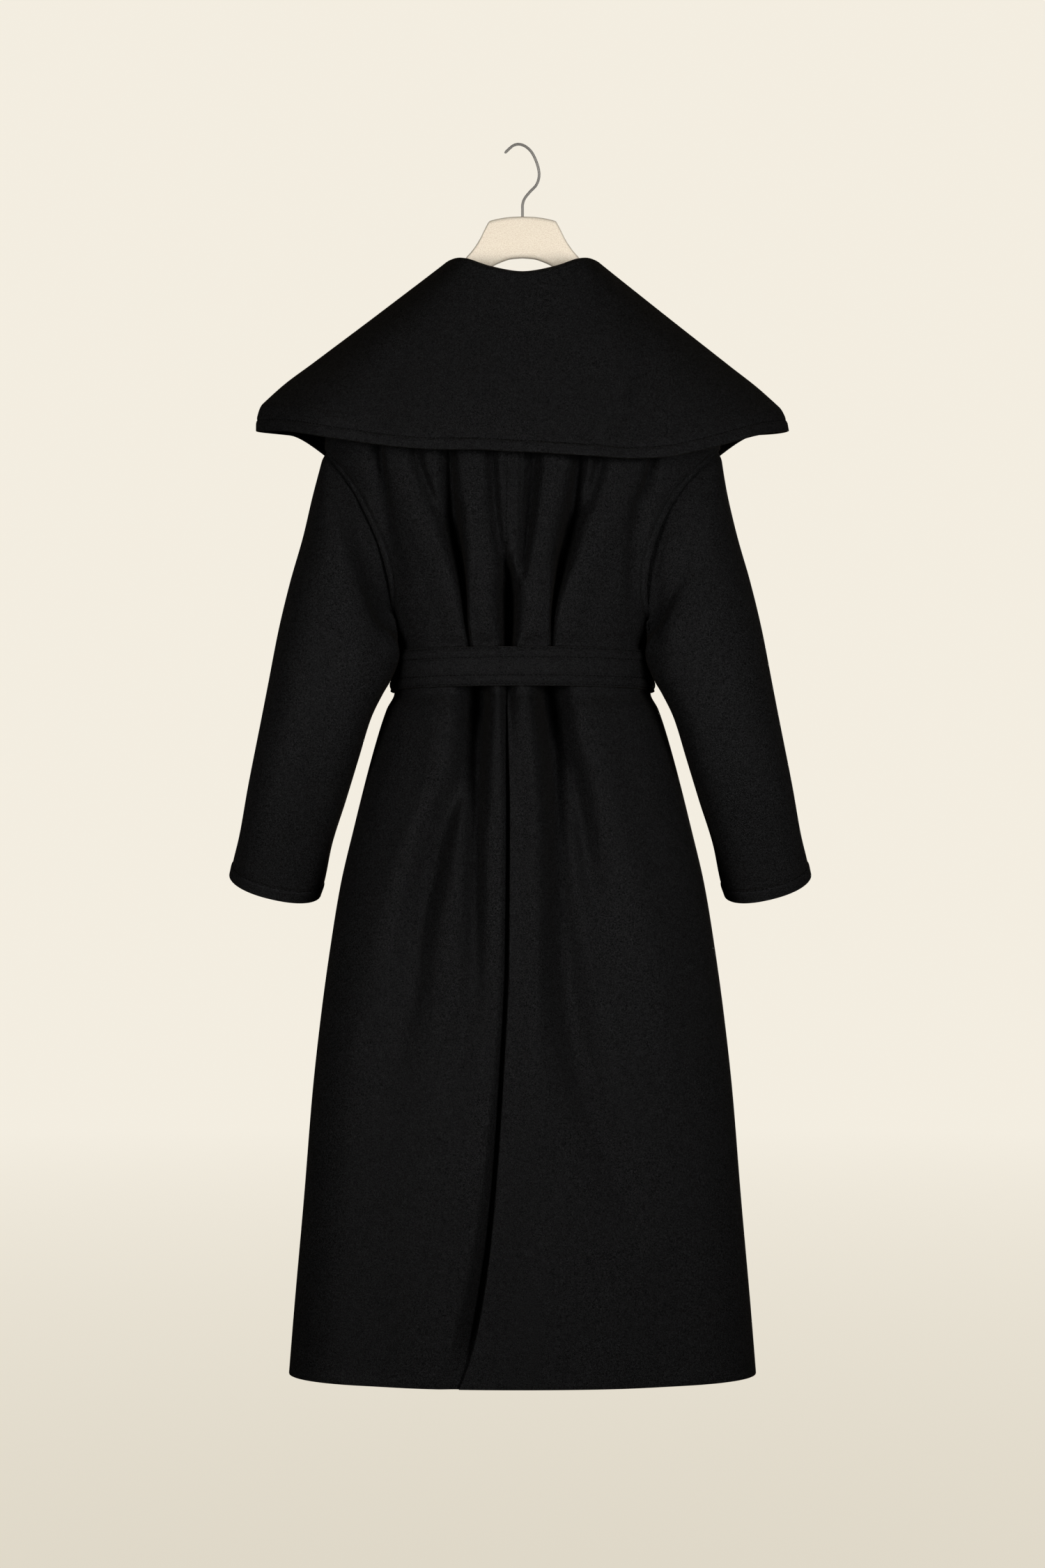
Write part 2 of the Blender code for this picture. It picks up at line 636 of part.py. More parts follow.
def collar_profile(base, roll, edge, bow):
    """Middle line of the collar's wall: up the stand, over the roll and down the fall."""
    down_in = unit(base - roll)
    down_out = unit(edge - roll)
    apex = -unit(down_in + down_out)
    wide = unit(down_out - apex * (down_out @ apex))
    centre = roll - apex * COLLAR_ROLL_RADIUS
    points = [base]
    for degrees in COLLAR_ROLL_ANGLES:
        angle = math.radians(degrees)
        points.append(centre + COLLAR_ROLL_RADIUS * (math.cos(angle) * apex + math.sin(angle) * wide))
    start = points[-1]
    fall = edge - start
    outward = unit(apex - unit(fall) * (apex @ unit(fall)))
    for cut in COLLAR_FALL:
        points.append(start + fall * cut.share + outward * bow * cut.swell)
    return points


def build_collar():
    last = len(COLLAR_STATIONS) - 1
    places = np.linspace(-last, last, COLLAR_COLUMNS)
    grid = []
    for place in places:
        side = 1 if place >= 0 else -1
        grid.append(collar_profile(*collar_frame(abs(place), side)))
    grid = np.array(grid)
    normals = grid_normals(grid)
    outer = grid + normals * COLLAR_CLOTH / 2
    inner = grid - normals * COLLAR_CLOTH / 2
    # The stand is cut level where it meets the back neck
    level = np.abs(places) <= COLLAR_CORNER - 1
    outer[level, 0, 2] = NECK_Z + SEAM_GAP
    inner[level, 0, 2] = NECK_Z + SEAM_GAP
    return add_wall("collar", outer, inner, "wool")


def belt_place(turn, drop, offset):
    """Point on the belt: turn runs right round the body from centre back, drop is below the belt's middle."""
    face = -1 if math.cos(turn) >= 0 else 1
    local = turn if face < 0 else math.pi - turn
    local = math.atan2(math.sin(local), math.cos(local))
    flat = base_point(face, local, BELT_Z)
    z = BELT_Z - BELT_TILT * (flat[1] + column(BODY_SECTIONS, "back_depth", BELT_Z)) - drop
    return base_point(face, local, z) + base_normal(face, local, z) * offset


def build_belt():
    drops = [-BELT_WIDTH / 2, 0.0, BELT_WIDTH / 2]
    turns = [2 * math.pi * k / BELT_SEGMENTS for k in range(BELT_SEGMENTS)]
    inner = [[belt_place(turn, drop, BELT_CLEARANCE) for turn in turns] for drop in drops]
    outer = [[belt_place(turn, drop, BELT_CLEARANCE + BELT_CLOTH) for turn in turns] for drop in drops]
    add_wall("belt_band", np.array(outer), np.array(inner), "wool", ring=True)


def build_knot():
    """Plain knot: a rounded lump of turned cloth lying on the band at the front."""
    width, depth, height = KNOT_SIZE
    seat = belt_place(math.pi, 0.0, BELT_CLEARANCE + BELT_CLOTH + SEAM_GAP)
    rows = KNOT_ROWS
    columns = KNOT_COLUMNS
    points = []
    for r in range(rows + 1):
        lift = math.pi * (r / rows - 0.5)
        for c in range(columns):
            turn = 2 * math.pi * c / columns
            x = bent(bent(math.cos(lift)) * bent(math.cos(turn)))
            y = bent(math.cos(lift)) * bent(math.sin(turn))
            waist = 1.0 - KNOT_WAIST * math.cos(math.pi * x)
            points.append((
                seat[0] + width / 2 * x,
                seat[1] + depth / 2 + depth / 2 * y,
                seat[2] + height / 2 * waist * bent(math.sin(lift)),
            ))
    faces = []
    for r in range(1, rows - 1):
        for c in range(columns):
            a = r * columns + c
            b = r * columns + (c + 1) % columns
            faces.append((a, b, b + columns, a + columns))
    faces.append(tuple(columns + c for c in reversed(range(columns))))
    faces.append(tuple((rows - 1) * columns + c for c in range(columns)))
    used = points[columns: rows * columns]
    faces = [tuple(index - columns for index in face) for face in faces]
    add_object("belt_knot", used, faces, "wool")


def build_belt_end(word, side):
    """One free end of the belt, hanging from under the knot over the front of the skirt."""
    columns = BELT_END_COLUMNS
    top = belt_place(math.pi, KNOT_SIZE[2] / 2 + BELT_END_DROP, 0.0)[2]
    low = top - BELT_END_LENGTH
    between = [z for z in body_rows() if low + BELT_END_LOW_STEP < z < top - BELT_END_TOP_STEP]
    outer = []
    inner = []
    for z in [top, *between, low]:
        share = (top - z) / BELT_END_LENGTH
        middle = side * (BELT_END_X + BELT_END_SPREAD * share)
        line = []
        for c in range(columns + 1):
            x = middle + BELT_WIDTH * (c / columns - 0.5)
            line.append(turn_at(x, z))
        points = [base_point(1, turn, z) for turn in line]
        normals = [base_normal(1, turn, z) for turn in line]
        inner.append([p + n * BELT_CLEARANCE for p, n in zip(points, normals)])
        outer.append([p + n * (BELT_CLEARANCE + BELT_CLOTH) for p, n in zip(points, normals)])
    add_wall("belt_end_" + word, np.array(outer), np.array(inner), "wool")


def shoulder_height(x):
    """Height of the shoulder seam at a distance from the middle."""
    rows = [row for row in BODY_SECTIONS if row.z >= ARM_TOP_Z]
    return smooth_table([row.half_width for row in rows], [row.z for row in rows], x)


def hanger_cuts():
    cuts = list(HANGER_HEAD)
    for x, taper in zip(HANGER_ARM_STATIONS, HANGER_END_TAPER):
        step = 0.004
        slope = (shoulder_height(x - step) - shoulder_height(x + step)) / (2 * step)
        top = shoulder_height(x) - (CLOTH + HANGER_CLEARANCE) * math.hypot(1.0, slope) - taper
        cuts.append(HangerCut(x, top, top - HANGER_ARM_HEIGHT + 2 * taper))
    return [HangerCut(-cut.x, cut.top, cut.bottom) for cut in reversed(cuts[1:])] + cuts


def build_hanger():
    """Moulded bar whose rounded section follows the top and bottom edges of the outline."""
    half = HANGER_THICKNESS / 2
    sections = []
    for cut in hanger_cuts():
        middle = (cut.top + cut.bottom) / 2
        radius = HANGER_ROUNDING * min(half, (cut.top - cut.bottom) / 2)
        straight = (cut.top - cut.bottom) / 2 - radius
        flat = half - radius
        ring = []
        for corner, (y_side, z_side) in enumerate(((1, 1), (-1, 1), (-1, -1), (1, -1))):
            for k in range(HANGER_CORNERS):
                angle = math.pi / 2 * (corner + k / (HANGER_CORNERS - 1))
                y = y_side * flat + radius * math.cos(angle)
                z = middle + z_side * straight + radius * math.sin(angle)
                ring.append((cut.x, y, z))
        sections.append(ring)
    sides = len(sections[0])
    points = [point for ring in sections for point in ring]
    faces = []
    for s in range(len(sections) - 1):
        for k in range(sides):
            a = s * sides + k
            b = s * sides + (k + 1) % sides
            faces.append((a, b, b + sides, a + sides))
    faces.append(tuple(reversed(range(sides))))
    faces.append(tuple((len(sections) - 1) * sides + k for k in range(sides)))
    add_object("hanger_body", points, faces, "hanger_plastic")


def build_hook():
    route = bpy.data.curves.new("hanger_hook", "CURVE")
    route.dimensions = "3D"
    route.bevel_depth = HOOK_WIRE / 2
    route.bevel_resolution = HOOK_ROUNDNESS
    route.use_fill_caps = True
    line = route.splines.new("POLY")
    count = (len(HOOK_ROUTE) - 1) * HOOK_STEPS + 1
    line.points.add(count - 1)
    for k in range(count):
        x = catmull([point.x for point in HOOK_ROUTE], k / HOOK_STEPS)
        z = catmull([point.z for point in HOOK_ROUTE], k / HOOK_STEPS)
        line.points[k].co = (x, x * math.tan(HOOK_TURN), z, 1.0)
    route.materials.append(material("hook_steel"))
    made = bpy.data.objects.new("hanger_hook", route)
    bpy.context.scene.collection.objects.link(made)


def catmull(values, at):
    """Smooth curve through evenly numbered values."""
    k = min(int(at), len(values) - 2)
    t = at - k
    before = values[max(k - 1, 0)]
    after = values[min(k + 2, len(values) - 1)]
    start, finish = values[k], values[k + 1]
    bend = 2 * before - 5 * start + 4 * finish - after
    twist = -before + 3 * start - 3 * finish + after
    return 0.5 * (2 * start + (finish - before) * t + bend * t * t + twist * t ** 3)


def main():
    clear_scene()
    build_panel("back_left", -1, -1)
    build_panel("back_right", -1, 1)
    build_panel("front_left", 1, -1)
    build_panel("front_right", 1, 1)
    build_sleeve(-1, "left")
    build_sleeve(1, "right")
    build_collar()
    build_belt()
    build_knot()
    build_belt_end("left", -1)
    build_belt_end("right", 1)
    build_hanger()
    build_hook()


main()
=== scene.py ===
"""Looks of the belted coat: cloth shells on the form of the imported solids, stitching, hanger, hook and light.

Metres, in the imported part's frame, with tables in millimetres.
The coat's back faces -Y and +X is the wearer's right.
"""

import math
from collections import namedtuple

import bmesh
import bpy
import numpy as np
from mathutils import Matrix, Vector


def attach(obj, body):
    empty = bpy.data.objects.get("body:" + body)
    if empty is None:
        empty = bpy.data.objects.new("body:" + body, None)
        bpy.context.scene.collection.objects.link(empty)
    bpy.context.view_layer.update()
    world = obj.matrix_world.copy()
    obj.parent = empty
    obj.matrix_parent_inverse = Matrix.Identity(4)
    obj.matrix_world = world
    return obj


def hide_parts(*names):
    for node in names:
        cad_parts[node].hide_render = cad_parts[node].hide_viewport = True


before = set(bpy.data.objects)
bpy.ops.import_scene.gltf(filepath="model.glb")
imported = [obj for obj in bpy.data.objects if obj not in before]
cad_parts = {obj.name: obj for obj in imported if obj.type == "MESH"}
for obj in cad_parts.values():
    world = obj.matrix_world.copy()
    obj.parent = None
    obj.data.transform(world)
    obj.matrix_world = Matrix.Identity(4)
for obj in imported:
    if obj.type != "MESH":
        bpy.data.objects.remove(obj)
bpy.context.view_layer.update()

# Sizes of the part, as in its source
CLOTH = 0.0026
COLLAR_CLOTH = 0.0040
BELT_CLOTH = 0.0040
SEAM_GAP = 0.0003
SECTION_POWER = 2.2

NECK_Z = -0.165
ARM_TOP_Z = -0.335
ARM_LOW_Z = -0.540
HEM_Z = -1.355
ARM_MIDDLE_Z = (ARM_TOP_Z + ARM_LOW_Z) / 2
ARM_HALF = (ARM_TOP_Z - ARM_LOW_Z) / 2
ARMHOLE_DIP = {-1: math.radians(29), 1: math.radians(38)}
FRONT_ARMHOLE_DIP = math.radians(36)

BELT_Z = -0.577
BELT_WIDTH = 0.043
BELT_TILT = 0.05
BELT_CLEARANCE = 0.0007
BELT_END_LENGTH = 0.40
BELT_END_X = 0.0235
BELT_END_SPREAD = 0.016
BELT_END_DROP = 0.002
KNOT_SIZE = (0.056, 0.018, 0.052)
KNOT_WAIST = 0.16
KNOT_BACK = 0.3

# Turns of cloth round the knot, as slope, rise, width and weight of the crease between them
KNOT_TURNS = ((0.7, -0.35, 0.10, 1.0), (0.5, 0.45, 0.12, 0.7))
KNOT_CREASE = 0.28

# The belt's ends come up and forward into the knot, drawn together and pleated over this length
BELT_END_LEAD = 0.036
BELT_END_DRAW = 0.0105
BELT_END_PINCH = 0.45
BELT_END_FORWARD = 0.0100
BELT_END_RISE = 0.0120
BELT_END_PLEAT = 0.0016
BELT_END_PLEATS = 2

COLLAR_ROLL_RADIUS = 0.0055
COLLAR_ROLL_ARC = math.radians(85)
LAPEL_GAP = 0.0028
COLLAR_CORNER = 6
LAPEL_TURN = 0.010
LAPEL_LIFT = 0.005
COLLAR_SIDE = 4
CUFF_RAISE = 0.0011
SLEEVE_SHIFT = {-1: 0.0020, 1: -0.003}

HANGER_THICKNESS = 0.013
HANGER_ARM_HEIGHT = 0.026
HANGER_ROUNDING = 0.8
HANGER_CLEARANCE = 0.0005
HANGER_FINE_X = 0.1
HANGER_TIP = 0.012
HOOK_WIRE = 0.003
HOOK_TURN = math.radians(45)
HOOK_TIP = (0.92, 0.7, 0.3)


def metres(value):
    """Millimetres as metres: a number, a tuple of numbers or None."""
    if isinstance(value, tuple):
        return tuple(metres(part) for part in value)
    return None if value is None else value / 1000.0


def table(columns, rows):
    """Rows with named columns. Lengths are written in millimetres and kept in metres, angles in degrees."""
    Row = namedtuple("Row", columns)
    angle = [name.endswith("_deg") for name in Row._fields]
    return [Row(*(value if plain else metres(value) for plain, value in zip(angle, row))) for row in rows]


def crease(power, rows):
    """A crease's power, and its path in metres."""
    return power, np.array(rows) / 1000.0


BODY_SECTIONS = table("z half_width back_depth front_depth", [
    (-165, 96, 55, 58), (-185, 122, 62, 66), (-211, 156.5, 67, 74), (-237, 190, 73, 80),
    (-262, 207, 78, 84), (-297, 215.5, 83, 88), (-335, 218.5, 88, 92), (-390, 200, 93, 95),
    (-450, 176, 96, 96), (-500, 156, 96, 94), (-540, 144, 92, 90), (-554, 141.5, 88, 87),
    (-604, 141.5, 88, 87), (-622, 150, 94, 91), (-668, 164.5, 102, 97), (-756, 187, 108, 101),
    (-816, 201, 111, 103), (-886, 212.5, 113, 105), (-955, 222, 115, 106), (-1041, 231.6, 116, 107),
    (-1161, 241.4, 117, 108), (-1281, 252, 118, 109), (-1355, 258, 118, 109),
])

# Creases: each follows a path of rows with x, z, depth and half width in millimetres, from its top end down.
# A power under 2 draws the trough to a sharper line, and a depth below 0 is a soft ridge.
BACK_CREASES = [
    # Deep trough on the left above the belt, the gap below it, and its run-out over the skirt
    crease(2, [
        (-80, -290, 0, 7), (-80.9, -348, 14, 7), (-80.6, -379, 17, 7.8), (-79.3, -410, 24.5, 9.8),
        (-76.2, -435, 27, 8.6), (-70, -466, 24, 6.4), (-65.3, -497, 18, 4), (-62.2, -528, 11, 2.8),
        (-58.5, -553, 7, 2.2), (-57, -577, 8, 4), (-54, -610, 4, 10), (-56, -650, 8, 14),
        (-66, -690, 15, 15), (-74, -710, 18, 16), (-89, -748, 20, 17), (-105, -809, 20, 19),
        (-118, -868, 17, 21), (-124, -928, 13, 23), (-137, -990, 8, 26), (-150, -1120, 0, 30)]),
    # The same on the right
    crease(2, [
        (65, -290, 0, 7), (63.8, -350, 14, 7.2), (60.7, -379, 19, 8.2), (56.6, -410, 25.5, 10.2),
        (51.4, -435, 28, 9.6), (45.8, -457, 28, 8.6), (40.5, -482, 23.5, 5.6), (36.1, -504, 17, 3.8),
        (33, -528, 11, 2.8), (32.1, -553, 7, 2.2), (31, -577, 8, 4), (32.5, -610, 4, 10),
        (37, -650, 9, 13), (38.5, -690, 18, 13), (41.5, -750, 20.5, 14), (44, -815, 20.5, 15.5),
        (47, -888, 19, 18), (56, -969, 17, 20), (76, -1055, 12, 22), (105, -1140, 7, 26),
        (115, -1250, 0, 30)]),
    # Open gaps between the gathers just below the belt
    crease(2.4, [
        (-54, -566, 0, 9), (-53, -596, 34, 14.5), (-52.5, -620, 34, 15.5), (-53, -643, 26, 15.5),
        (-52.5, -675, 16, 15), (-51.5, -715, 8, 15), (-50, -760, 0, 15)]),
    crease(2.4, [
        (31, -566, 0, 9), (31, -596, 34, 15.5), (33.5, -620, 34.5, 17), (36.5, -645, 26.5, 17),
        (40, -675, 16, 17), (45, -715, 9, 18), (50, -770, 0, 18)]),
    # Centre trough, which ends in the wide gap at the belt
    crease(2, [
        (-34, -290, 0, 5), (-33, -351, 8, 5), (-31.1, -395, 8.5, 5.8), (-27, -435, 8, 6),
        (-21, -457, 11, 6.6), (-16.5, -479, 24, 8.2), (-15.9, -504, 33, 9.2), (-15.7, -535, 33, 8),
        (-16, -556, 29, 6), (-15.8, -577, 24, 6), (-15, -612, 10, 6.5), (-14, -660, 3, 6),
        (-13, -720, 0, 6)]),
    # Trough beside the centre seam on the right
    crease(2.2, [
        (12, -290, 0, 8), (11.2, -351, 13, 8), (9.4, -379, 13.5, 7.6), (7, -410, 12.5, 6.6),
        (4, -441, 10, 5.2), (1, -470, 7, 4.2), (-2, -487, 0, 4)]),
    # Second trough that joins the deep one on the right, and one on the left
    crease(2, [
        (87, -290, 0, 7), (85.6, -351, 10.5, 7), (80, -373, 11, 7.6), (72.2, -398, 8.5, 8),
        (65, -421, 0, 8)]),
    crease(2, [
        (-117, -290, 0, 6), (-115.1, -348, 8, 6), (-105.8, -379, 8, 6.6), (-94, -407, 6, 7),
        (-86, -430, 0, 7)]),
    # Troughs beside the armholes
    crease(2, [
        (-160, -290, 0, 5.5), (-158, -345, 11, 5.6), (-155.6, -373, 9, 7.5), (-153, -398, 7, 9.5),
        (-149.3, -426, 5.5, 11), (-140, -466, 3.5, 12), (-132, -505, 0, 12)]),
    crease(2, [
        (146, -290, 0, 6), (144, -351, 12, 6), (140.1, -373, 10, 7.5), (129.2, -404, 8, 9.5),
        (124.5, -441, 6.5, 10.5), (123, -479, 5, 10.5), (121, -525, 0, 10.5)]),
    # Tubes of gathered cloth above the belt
    crease(2, [
        (-57.5, -300, 0, 13), (-57.5, -348, -3, 13), (-52.5, -410, -4, 13), (-46.5, -472, -5, 14),
        (-41, -535, -3.5, 12), (-40, -553.5, 0, 11)]),
    crease(2, [
        (38.5, -300, 0, 14), (37.8, -351, -3, 14), (31.7, -398, -4, 14), (23.4, -441, -5, 14),
        (15.6, -491, -5, 14), (10.9, -541, -3.5, 13), (9.5, -553.5, 0, 12)]),
    crease(2, [
        (-135, -300, 0, 15), (-133.8, -351, -3, 15), (-121.4, -395, -4, 16), (-99.6, -448, -4, 18),
        (-80.9, -497, -3.5, 15), (-72, -541, -2, 12), (-70, -553.5, 0, 12)]),
    crease(2, [
        (113, -310, 0, 16), (110.5, -364, -3, 16), (96.5, -410, -4, 18), (77.8, -457, -4, 18),
        (56, -510, -3.5, 16), (45.5, -547, -1.5, 14), (45, -553.5, 0, 14)]),
    # Tubes below the belt
    crease(2, [
        (6, -601, 0, 12), (7.5, -630, -4.5, 12.5), (11.5, -700, -6.5, 12.5), (13.5, -750, -7.5, 13),
        (13.5, -930, -6.5, 15), (15, -1050, -4, 20), (16, -1180, 0, 24)]),
    crease(2, [(-34, -601, 0, 10), (-33, -630, -3, 10), (-31, -750, -2, 12), (-30, -900, 0, 14)]),
    crease(2, [
        (-86, -601, 0, 20), (-88, -640, -4, 20), (-92, -704, -4.5, 18), (-107, -748, -4.5, 20),
        (-132, -809, -4, 24), (-140, -880, -3, 26), (-150, -1000, 0, 30)]),
    crease(2, [
        (75, -601, 0, 20), (78, -640, -4, 20), (90.5, -704, -4.5, 20), (102, -748, -4.5, 21),
        (121.5, -809, -4.5, 24), (136, -868, -4.5, 26), (144, -928, -4, 28), (151, -990, -3.5, 30),
        (158, -1150, 0, 34)]),
    # Lesser troughs of the skirt
    crease(1.9, [
        (50, -650, 0, 10), (60, -695, 15, 12), (67.5, -750, 19, 13.5), (74.5, -810, 15.5, 16),
        (85, -870, 6, 20), (95, -930, 0, 22)]),
    crease(1.9, [
        (-48, -660, 0, 9), (-52, -705, 13, 10), (-53, -748, 15, 10), (-53, -809, 14.5, 10),
        (-53, -868, 11.5, 11), (-54, -930, 8, 13), (-66, -1000, 5, 16), (-75, -1090, 0, 18)]),
    crease(2, [(-150, -900, 0, 30), (-156, -1100, 3, 34), (-160, -1300, 5, 36), (-160, -1420, 0, 36)]),
    crease(2, [(140, -930, 0, 30), (150, -1120, 2.5, 36), (158, -1300, 4, 38), (160, -1420, 0, 38)]),
]
FRONT_CREASES = [
    crease(1.7, [
        (-105, -400, 0, 14), (-92, -460, 6, 12), (-72, -540, 12, 8.5), (-64, -577, 12, 8.5),
        (-66, -615, 13, 9.5), (-86, -740, 6, 18), (-110, -930, 0, 26)]),
    crease(1.7, [
        (108, -410, 0, 14), (96, -470, 5, 12), (76, -545, 12, 8.5), (67, -577, 12, 8.5),
        (68, -612, 13, 9.5), (82, -720, 6, 17), (100, -960, 0, 26)]),
    crease(1.8, [
        (-130, -430, 0, 14), (-118, -520, 6, 11), (-108, -577, 7.5, 9), (-112, -620, 7, 12),
        (-145, -780, 3, 22), (-165, -900, 0, 26)]),
    crease(1.8, [
        (134, -440, 0, 14), (118, -530, 6, 11), (107, -577, 7.5, 9), (111, -618, 7, 12),
        (140, -760, 3, 20), (160, -920, 0, 26)]),
    crease(1.9, [(-40, -455, 0, 10), (-33, -520, 4, 9), (-30, -560, 5, 8), (-30, -590, 0, 8)]),
    crease(2, [(-120, -930, 0, 30), (-128, -1150, 3.5, 34), (-130, -1330, 5.5, 36), (-130, -1430, 0, 36)]),
    crease(2, [(125, -950, 0, 30), (134, -1150, 3, 34), (140, -1330, 5, 36), (140, -1430, 0, 36)]),
    crease(2, [(45, -640, 0, 14), (42, -760, 3.5, 18), (38, -960, 3, 24), (35, -1200, 0, 30)]),
]

BACK_LINE = table("z x lap tuck run proud", [
    (-165, 0, 0, 0, 12, 0), (-450, -3, 0, 0, 12, 0), (-560, -16, 0, 0, 12, 0), (-604, -16, 0, 3, 12, 0),
    (-648, -15, 0, 5.5, 10, 0.5), (-735, -13, 8, 7.5, 10, 1), (-895, -14, 22, 9, 11, 0.8),
    (-1005, -19, 28, 11.5, 13, -1), (-1125, -27, 32, 16.5, 17, -5.5), (-1200, -34, 34, 20.5, 21, -8.5),
    (-1245, -40, 36, 23.5, 25, -10.5), (-1290, -48, 38, 23.5, 28, -11), (-1318, -55, 39, 15, 28, -8),
    (-1337, -61, 39, 7.5, 25, -3.5), (-1355, -68, 40, 4.2, 22, -0.8),
])
PROUD_RUN = 0.045

FRONT_EDGE = table("z x tuck", [
    (-165, 80, 0), (-211, 74, 0), (-262, 62, 0), (-335, 40, 0), (-400, 19, 1), (-450, 2, 4.5),
    (-554, -35, 4.8), (-1355, -40, 4.8),
])
FRONT_RUN = 0.030
FRONT_LEAD = 0.020

SLEEVE_RINGS = table("outer_x outer_z inner_x inner_z mid_y half_depth lean_deg twist_deg skew", [
    (229, -385, 149, -556, -6, 62, 0, 1, 8), (239, -432, 147, -573, -14, 61, 0, 3, 12),
    (252.5, -482, 150, -590, -22, 59, 0, 6, 13), (265, -535, 156.5, -607, -27, 58, 1, 9, 12),
    (276, -590, 166.5, -632, -29, 57, 3, 12, 8), (288, -648, 180.5, -678, -23, 54, 8, 15, 4),
    (300.5, -706, 195, -724, -9, 51, 13, 18, 0), (311.5, -760, 211, -772, 10, 48, 17, 20, 0),
    (320, -791, 220, -812, 25, 47, 20, 22, 0), (323.5, -805, 225.5, -827.5, 31, 46, 20, 22, 0),
])

COLLAR_STATIONS = table("turn_deg drop roll edge bow", [
    (0, 0, (0, -61, -148.5), (0, -113, -337), 3), (22, 0, (36, -57, -142), (105, -110, -341), 4),
    (45, 0, (60, -44, -132.5), (195, -92, -334), 8), (66, 0, (69.5, -23, -130), (258, -52, -321), 15),
    (90, 0, (78.5, 0, -132.5), (292.5, 0, -315.5), 20), (108, 0, (78, 24, -141), (260, 58, -314), 14),
    (125, 0, (71, 49, -160), (208, 94, -346), 9), (125, 50, None, (172, 92, -385), 6),
    (125, 110, None, (125, 98, -420), 4), (125, 165, None, (87, 103, -446), 3),
    (125, 210, None, (62, 105, -462), 2),
])
# How the collar's fall swells out: shares of its length, and of its bow there
COLLAR_FALL = (
    (0.00, 0.20, 0.42, 0.65, 0.82, 0.91, 0.96, 1.00),
    (0.00, 0.22, 0.46, 0.72, 0.90, 0.88, 0.55, 0.00),
)
COLLAR_EDGE_SHARE = 0.85

# Where two shells are sewn, their rounded edges press into each other by this much
SEAM_PRESS = 0.0007

# Sewing: stitch rows lie in shallow grooves, and the cloth between a row and the edge stands a little proud
GROOVE_DEPTH = 0.0010
GROOVE_WIDTH = 0.0015
SEAM_DIP = 0.0018
SEAM_DIP_WIDTH = 0.0028
SEAM_DIP_RUN = 0.02
TOPSTITCH_OFF = 0.0148
TOPSTITCH_TOP = -0.300
TOPSTITCH_LOW = -0.488
TOPSTITCH_RUN = 0.01
ARMHOLE_STITCH = 0.0070
ARMHOLE_RIDGE = 0.0005
ARMHOLE_RIDGE_RUN = 0.003
ARMHOLE_GROOVE_WIDTH = 0.0022
ARMHOLE_RUN = 0.01
COLLAR_BAND = 0.0125
COLLAR_BAND_RAISE = 0.0003
COLLAR_BAND_RUN = 0.003
CUFF_BAND = 0.0145
CUFF_RUN = 0.002
BELT_ROW_OUT = 0.0026
BELT_ROW_IN = 0.0122
BELT_BAND_RAISE = 0.0005
STITCH_LENGTH = 0.0030
STITCH_PITCH = 0.0043
STITCH_WIDTH = 0.00070
STITCH_SIDES = 5
# Cuts along a stitch: share of its length, then girth and lift as shares of half its width
STITCH_CUTS = ((0.0, 0.3, -0.3), (0.2, 0.9, 0.2), (0.8, 0.9, 0.2), (1.0, 0.3, -0.3))

# Soft hollows of the sleeves, which fade where the cloth turns away from the back
HOLLOW_FADE = 2.0
SLEEVE_CREASES = {
    -1: [
        crease(2, [
            (-185, -395, 0, 12), (-176, -435, 4.5, 13), (-160, -475, 7.5, 16), (-150, -510, 8, 18),
            (-148, -545, 6, 18), (-150, -590, 0, 18)]),
        crease(2, [(-198, -560, 0, 20), (-208, -640, 3, 20), (-224, -720, 3, 18), (-238, -790, 0, 18)])],
    1: [
        crease(2, [
            (164, -395, 0, 10), (150, -430, 4, 11), (142, -475, 6, 13), (139, -515, 6.5, 15),
            (140, -550, 4.5, 16), (144, -590, 0, 16)]),
        crease(2, [(202, -590, 0, 20), (215, -660, 3, 20), (228, -730, 2.5, 18), (240, -790, 0, 18)])],
}

# The sleeve goes in under the body's edge: how far, how deep, and over what length it comes up again
ARMHOLE_UNDER = (0.010, 0.0035)
ARMHOLE_DEPTH = (0.0042, 0.0036, 0.0029)
ARMHOLE_RISE = 0.012

# Finely cut zones at the sleeve's head and cuff
SLEEVE_HEAD = 0.012
CUFF_ZONE = 0.022

# The sleeve is pressed in over the body's side just above the belt
TUCK_PLACE = (0.147, -0.044, -0.548)
TUCK_REACH = 0.042
TUCK_MOVE = (-0.0135, -0.007, 0.000)

# It keeps off the body by these margins, the larger one near the belt
SIDE_MARGIN = 0.0030
BELT_MARGIN = 0.0068
BELT_NEAR = 0.012
BELT_NEAR_RISE = 0.002
BELT_NEAR_RUN = 0.010
PUSH_START = 0.004
PUSH_RUN = 0.016

# The collar bows out less over the right shoulder
COLLAR_RIGHT_BOW = 0.72

# The collar's edge hangs unevenly round the back: extra drop where the edge has this x
COLLAR_DROOP = table("x drop", [
    (-292.5, 0), (-215, -1.5), (-143, 1.7), (-50, 7.2), (0, 11.2), (97, 13), (147, 14.5), (210, 8.2),
    (260, 3), (292.5, 0),
])
COLLAR_CREASES = [
    crease(2, [(148, -215, 0, 20), (139, -264, 4, 16), (113, -340, 5, 15), (108, -372, 0, 15)]),
    crease(2, [(102, -190, 0, 22), (104, -250, -3.5, 20), (85, -340, -3, 18), (80, -372, 0, 18)]),
    crease(2, [(-118, -215, 0, 26), (-150, -275, 3, 24), (-165, -345, 3, 22), (-168, -372, 0, 22)]),
    crease(2, [(-30, -205, 0, 30), (-42, -270, -2.5, 30), (-50, -345, -2.5, 26), (-52, -372, 0, 26)]),
]

# The collar's dents show behind this y and below this share of its fall
DENT_Y = -0.02
DENT_RUN = 0.03
DENT_SHARE = 0.3

